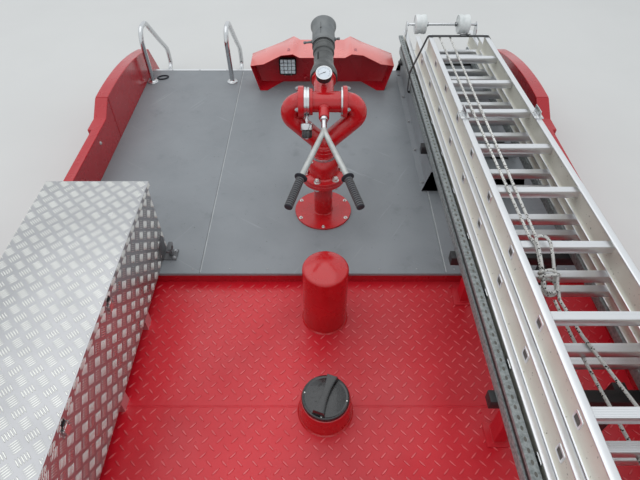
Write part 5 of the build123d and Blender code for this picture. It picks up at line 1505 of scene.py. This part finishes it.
def make_stage():
    """Camera at the photograph's place, plain pale floor and soft overcast light."""
    scene, stage = bpy.context.scene, settings()[2]
    data = bpy.data.cameras.new("camera")
    data.lens, data.sensor_width, data.clip_end = stage.lens, 36.0, 200.0
    scene.camera = placed("camera", data)
    scene.camera.location = (-0.011, -1.4176, 1.860)
    scene.camera.rotation_euler = (pi / 2 - stage.pitch, 0, 0)
    size, level = 30.0, -0.002
    corners = [(x * size, y * size, level) for x, y in ((-1, -1), (1, -1), (1, 1), (-1, 1))]
    mesh = bpy.data.meshes.new("floor")
    mesh.from_pydata(corners, [], [(0, 1, 2, 3)])
    mesh.materials.append(look("floor"))
    placed("floor", mesh)
    world = bpy.data.worlds.new("overcast")
    world.use_nodes = True
    plug(world.node_tree, world.node_tree.nodes["Background"], {
        "Color": (0.93, 0.97, 1.0, 1), "Strength": stage.sky,
    })
    scene.world = world
    light = bpy.data.lights.new("soft_overhead", "AREA")
    light.shape, light.size, light.size_y, light.energy = "RECTANGLE", 7.0, 7.0, stage.key
    lamp = placed("soft_overhead", light)
    lamp.location = (-1.2, 1.2, 5.5)
    lamp.rotation_euler = (radians(-9), radians(-10), 0)
    scene.view_settings.view_transform = "Standard"


class ROOF_DECK_OT_stage(bpy.types.Operator):
    """Camera, pale floor and soft light"""

    bl_idname = "roof_deck.stage"
    bl_label = "Stage"

    def execute(self, context):
        make_stage()
        return {"FINISHED"}


class ROOF_DECK_OT_plates(bpy.types.Operator):
    """Red tread plates, grey walkway, step, trim and frame"""

    bl_idname = "roof_deck.plates"
    bl_label = "Plates and Walkway"

    def execute(self, context):
        make_plates()
        return {"FINISHED"}


class ROOF_DECK_OT_fairings(bpy.types.Operator):
    """Side and rear fairings"""

    bl_idname = "roof_deck.fairings"
    bl_label = "Fairings"

    def execute(self, context):
        make_fairings()
        return {"FINISHED"}


class ROOF_DECK_OT_cowl(bpy.types.Operator):
    """Lamp cowl and work lamp"""

    bl_idname = "roof_deck.cowl"
    bl_label = "Lamp Cowl"

    def execute(self, context):
        make_cowl()
        return {"FINISHED"}


class ROOF_DECK_OT_grab_rails(bpy.types.Operator):
    """Grab rails with their feet"""

    bl_idname = "roof_deck.grab_rails"
    bl_label = "Grab Rails"

    def execute(self, context):
        make_grab_rails()
        return {"FINISHED"}


class ROOF_DECK_OT_locker(bpy.types.Operator):
    """Locker with its lid, latches and clamp"""

    bl_idname = "roof_deck.locker"
    bl_label = "Locker"

    def execute(self, context):
        make_locker()
        return {"FINISHED"}


class ROOF_DECK_OT_tank_fittings(bpy.types.Operator):
    """Vent dome, filler neck and cap"""

    bl_idname = "roof_deck.tank_fittings"
    bl_label = "Tank Fittings"

    def execute(self, context):
        make_tank_fittings()
        return {"FINISHED"}


class ROOF_DECK_OT_monitor(bpy.types.Operator):
    """Water monitor: stand, turning head and tilting barrel"""

    bl_idname = "roof_deck.monitor"
    bl_label = "Water Monitor"

    def execute(self, context):
        make_monitor_stand()
        make_monitor_head()
        make_monitor_barrel()
        return {"FINISHED"}


class ROOF_DECK_OT_ladders(bpy.types.Operator):
    """Extension ladder sections"""

    bl_idname = "roof_deck.ladders"
    bl_label = "Ladders"

    def execute(self, context):
        make_ladders()
        return {"FINISHED"}


class ROOF_DECK_OT_rack(bpy.types.Operator):
    """Ladder rack, hood, head wheels, brackets and strap"""

    bl_idname = "roof_deck.rack"
    bl_label = "Ladder Rack"

    def execute(self, context):
        make_rack()
        return {"FINISHED"}


class ROOF_DECK_OT_halyard(bpy.types.Operator):
    """Halyard lines, tails and hank"""

    bl_idname = "roof_deck.halyard"
    bl_label = "Halyard"

    def execute(self, context):
        make_halyard()
        return {"FINISHED"}


class ROOF_DECK_PT_panel(bpy.types.Panel):
    """Settings and steps of the roof deck"""

    bl_idname = "ROOF_DECK_PT_panel"
    bl_label = "Roof Deck"
    bl_space_type = "VIEW_3D"
    bl_region_type = "UI"
    bl_category = "Roof Deck"

    def draw(self, context):
        for group in settings():
            box = self.layout.box()
            for key in group.__annotations__:
                box.prop(group, key)
        for step in steps:
            self.layout.operator(step.bl_idname)


steps = (
    ROOF_DECK_OT_stage, ROOF_DECK_OT_halyard, ROOF_DECK_OT_plates, ROOF_DECK_OT_fairings, ROOF_DECK_OT_cowl,
    ROOF_DECK_OT_grab_rails, ROOF_DECK_OT_locker, ROOF_DECK_OT_tank_fittings, ROOF_DECK_OT_monitor,
    ROOF_DECK_OT_ladders, ROOF_DECK_OT_rack,
)
classes = (DeckColours, DeckSizes, StageSettings, *steps, ROOF_DECK_PT_panel)


def register():
    """Add the classes and the scene's groups of settings."""
    for item in classes:
        bpy.utils.register_class(item)
    bpy.types.Scene.deck_colours = bpy.props.PointerProperty(type=DeckColours)
    bpy.types.Scene.deck_sizes = bpy.props.PointerProperty(type=DeckSizes)
    bpy.types.Scene.deck_stage = bpy.props.PointerProperty(type=StageSettings)


def unregister():
    """Take them away again."""
    del bpy.types.Scene.deck_stage
    del bpy.types.Scene.deck_sizes
    del bpy.types.Scene.deck_colours
    for item in reversed(classes):
        bpy.utils.unregister_class(item)


def main():
    """Register the steps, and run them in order."""
    register()
    bpy.ops.roof_deck.stage()
    bpy.ops.roof_deck.halyard()
    bpy.ops.roof_deck.plates()
    bpy.ops.roof_deck.fairings()
    bpy.ops.roof_deck.cowl()
    bpy.ops.roof_deck.grab_rails()
    bpy.ops.roof_deck.locker()
    bpy.ops.roof_deck.tank_fittings()
    bpy.ops.roof_deck.monitor()
    bpy.ops.roof_deck.ladders()
    bpy.ops.roof_deck.rack()


if __name__ == "__main__":
    main()
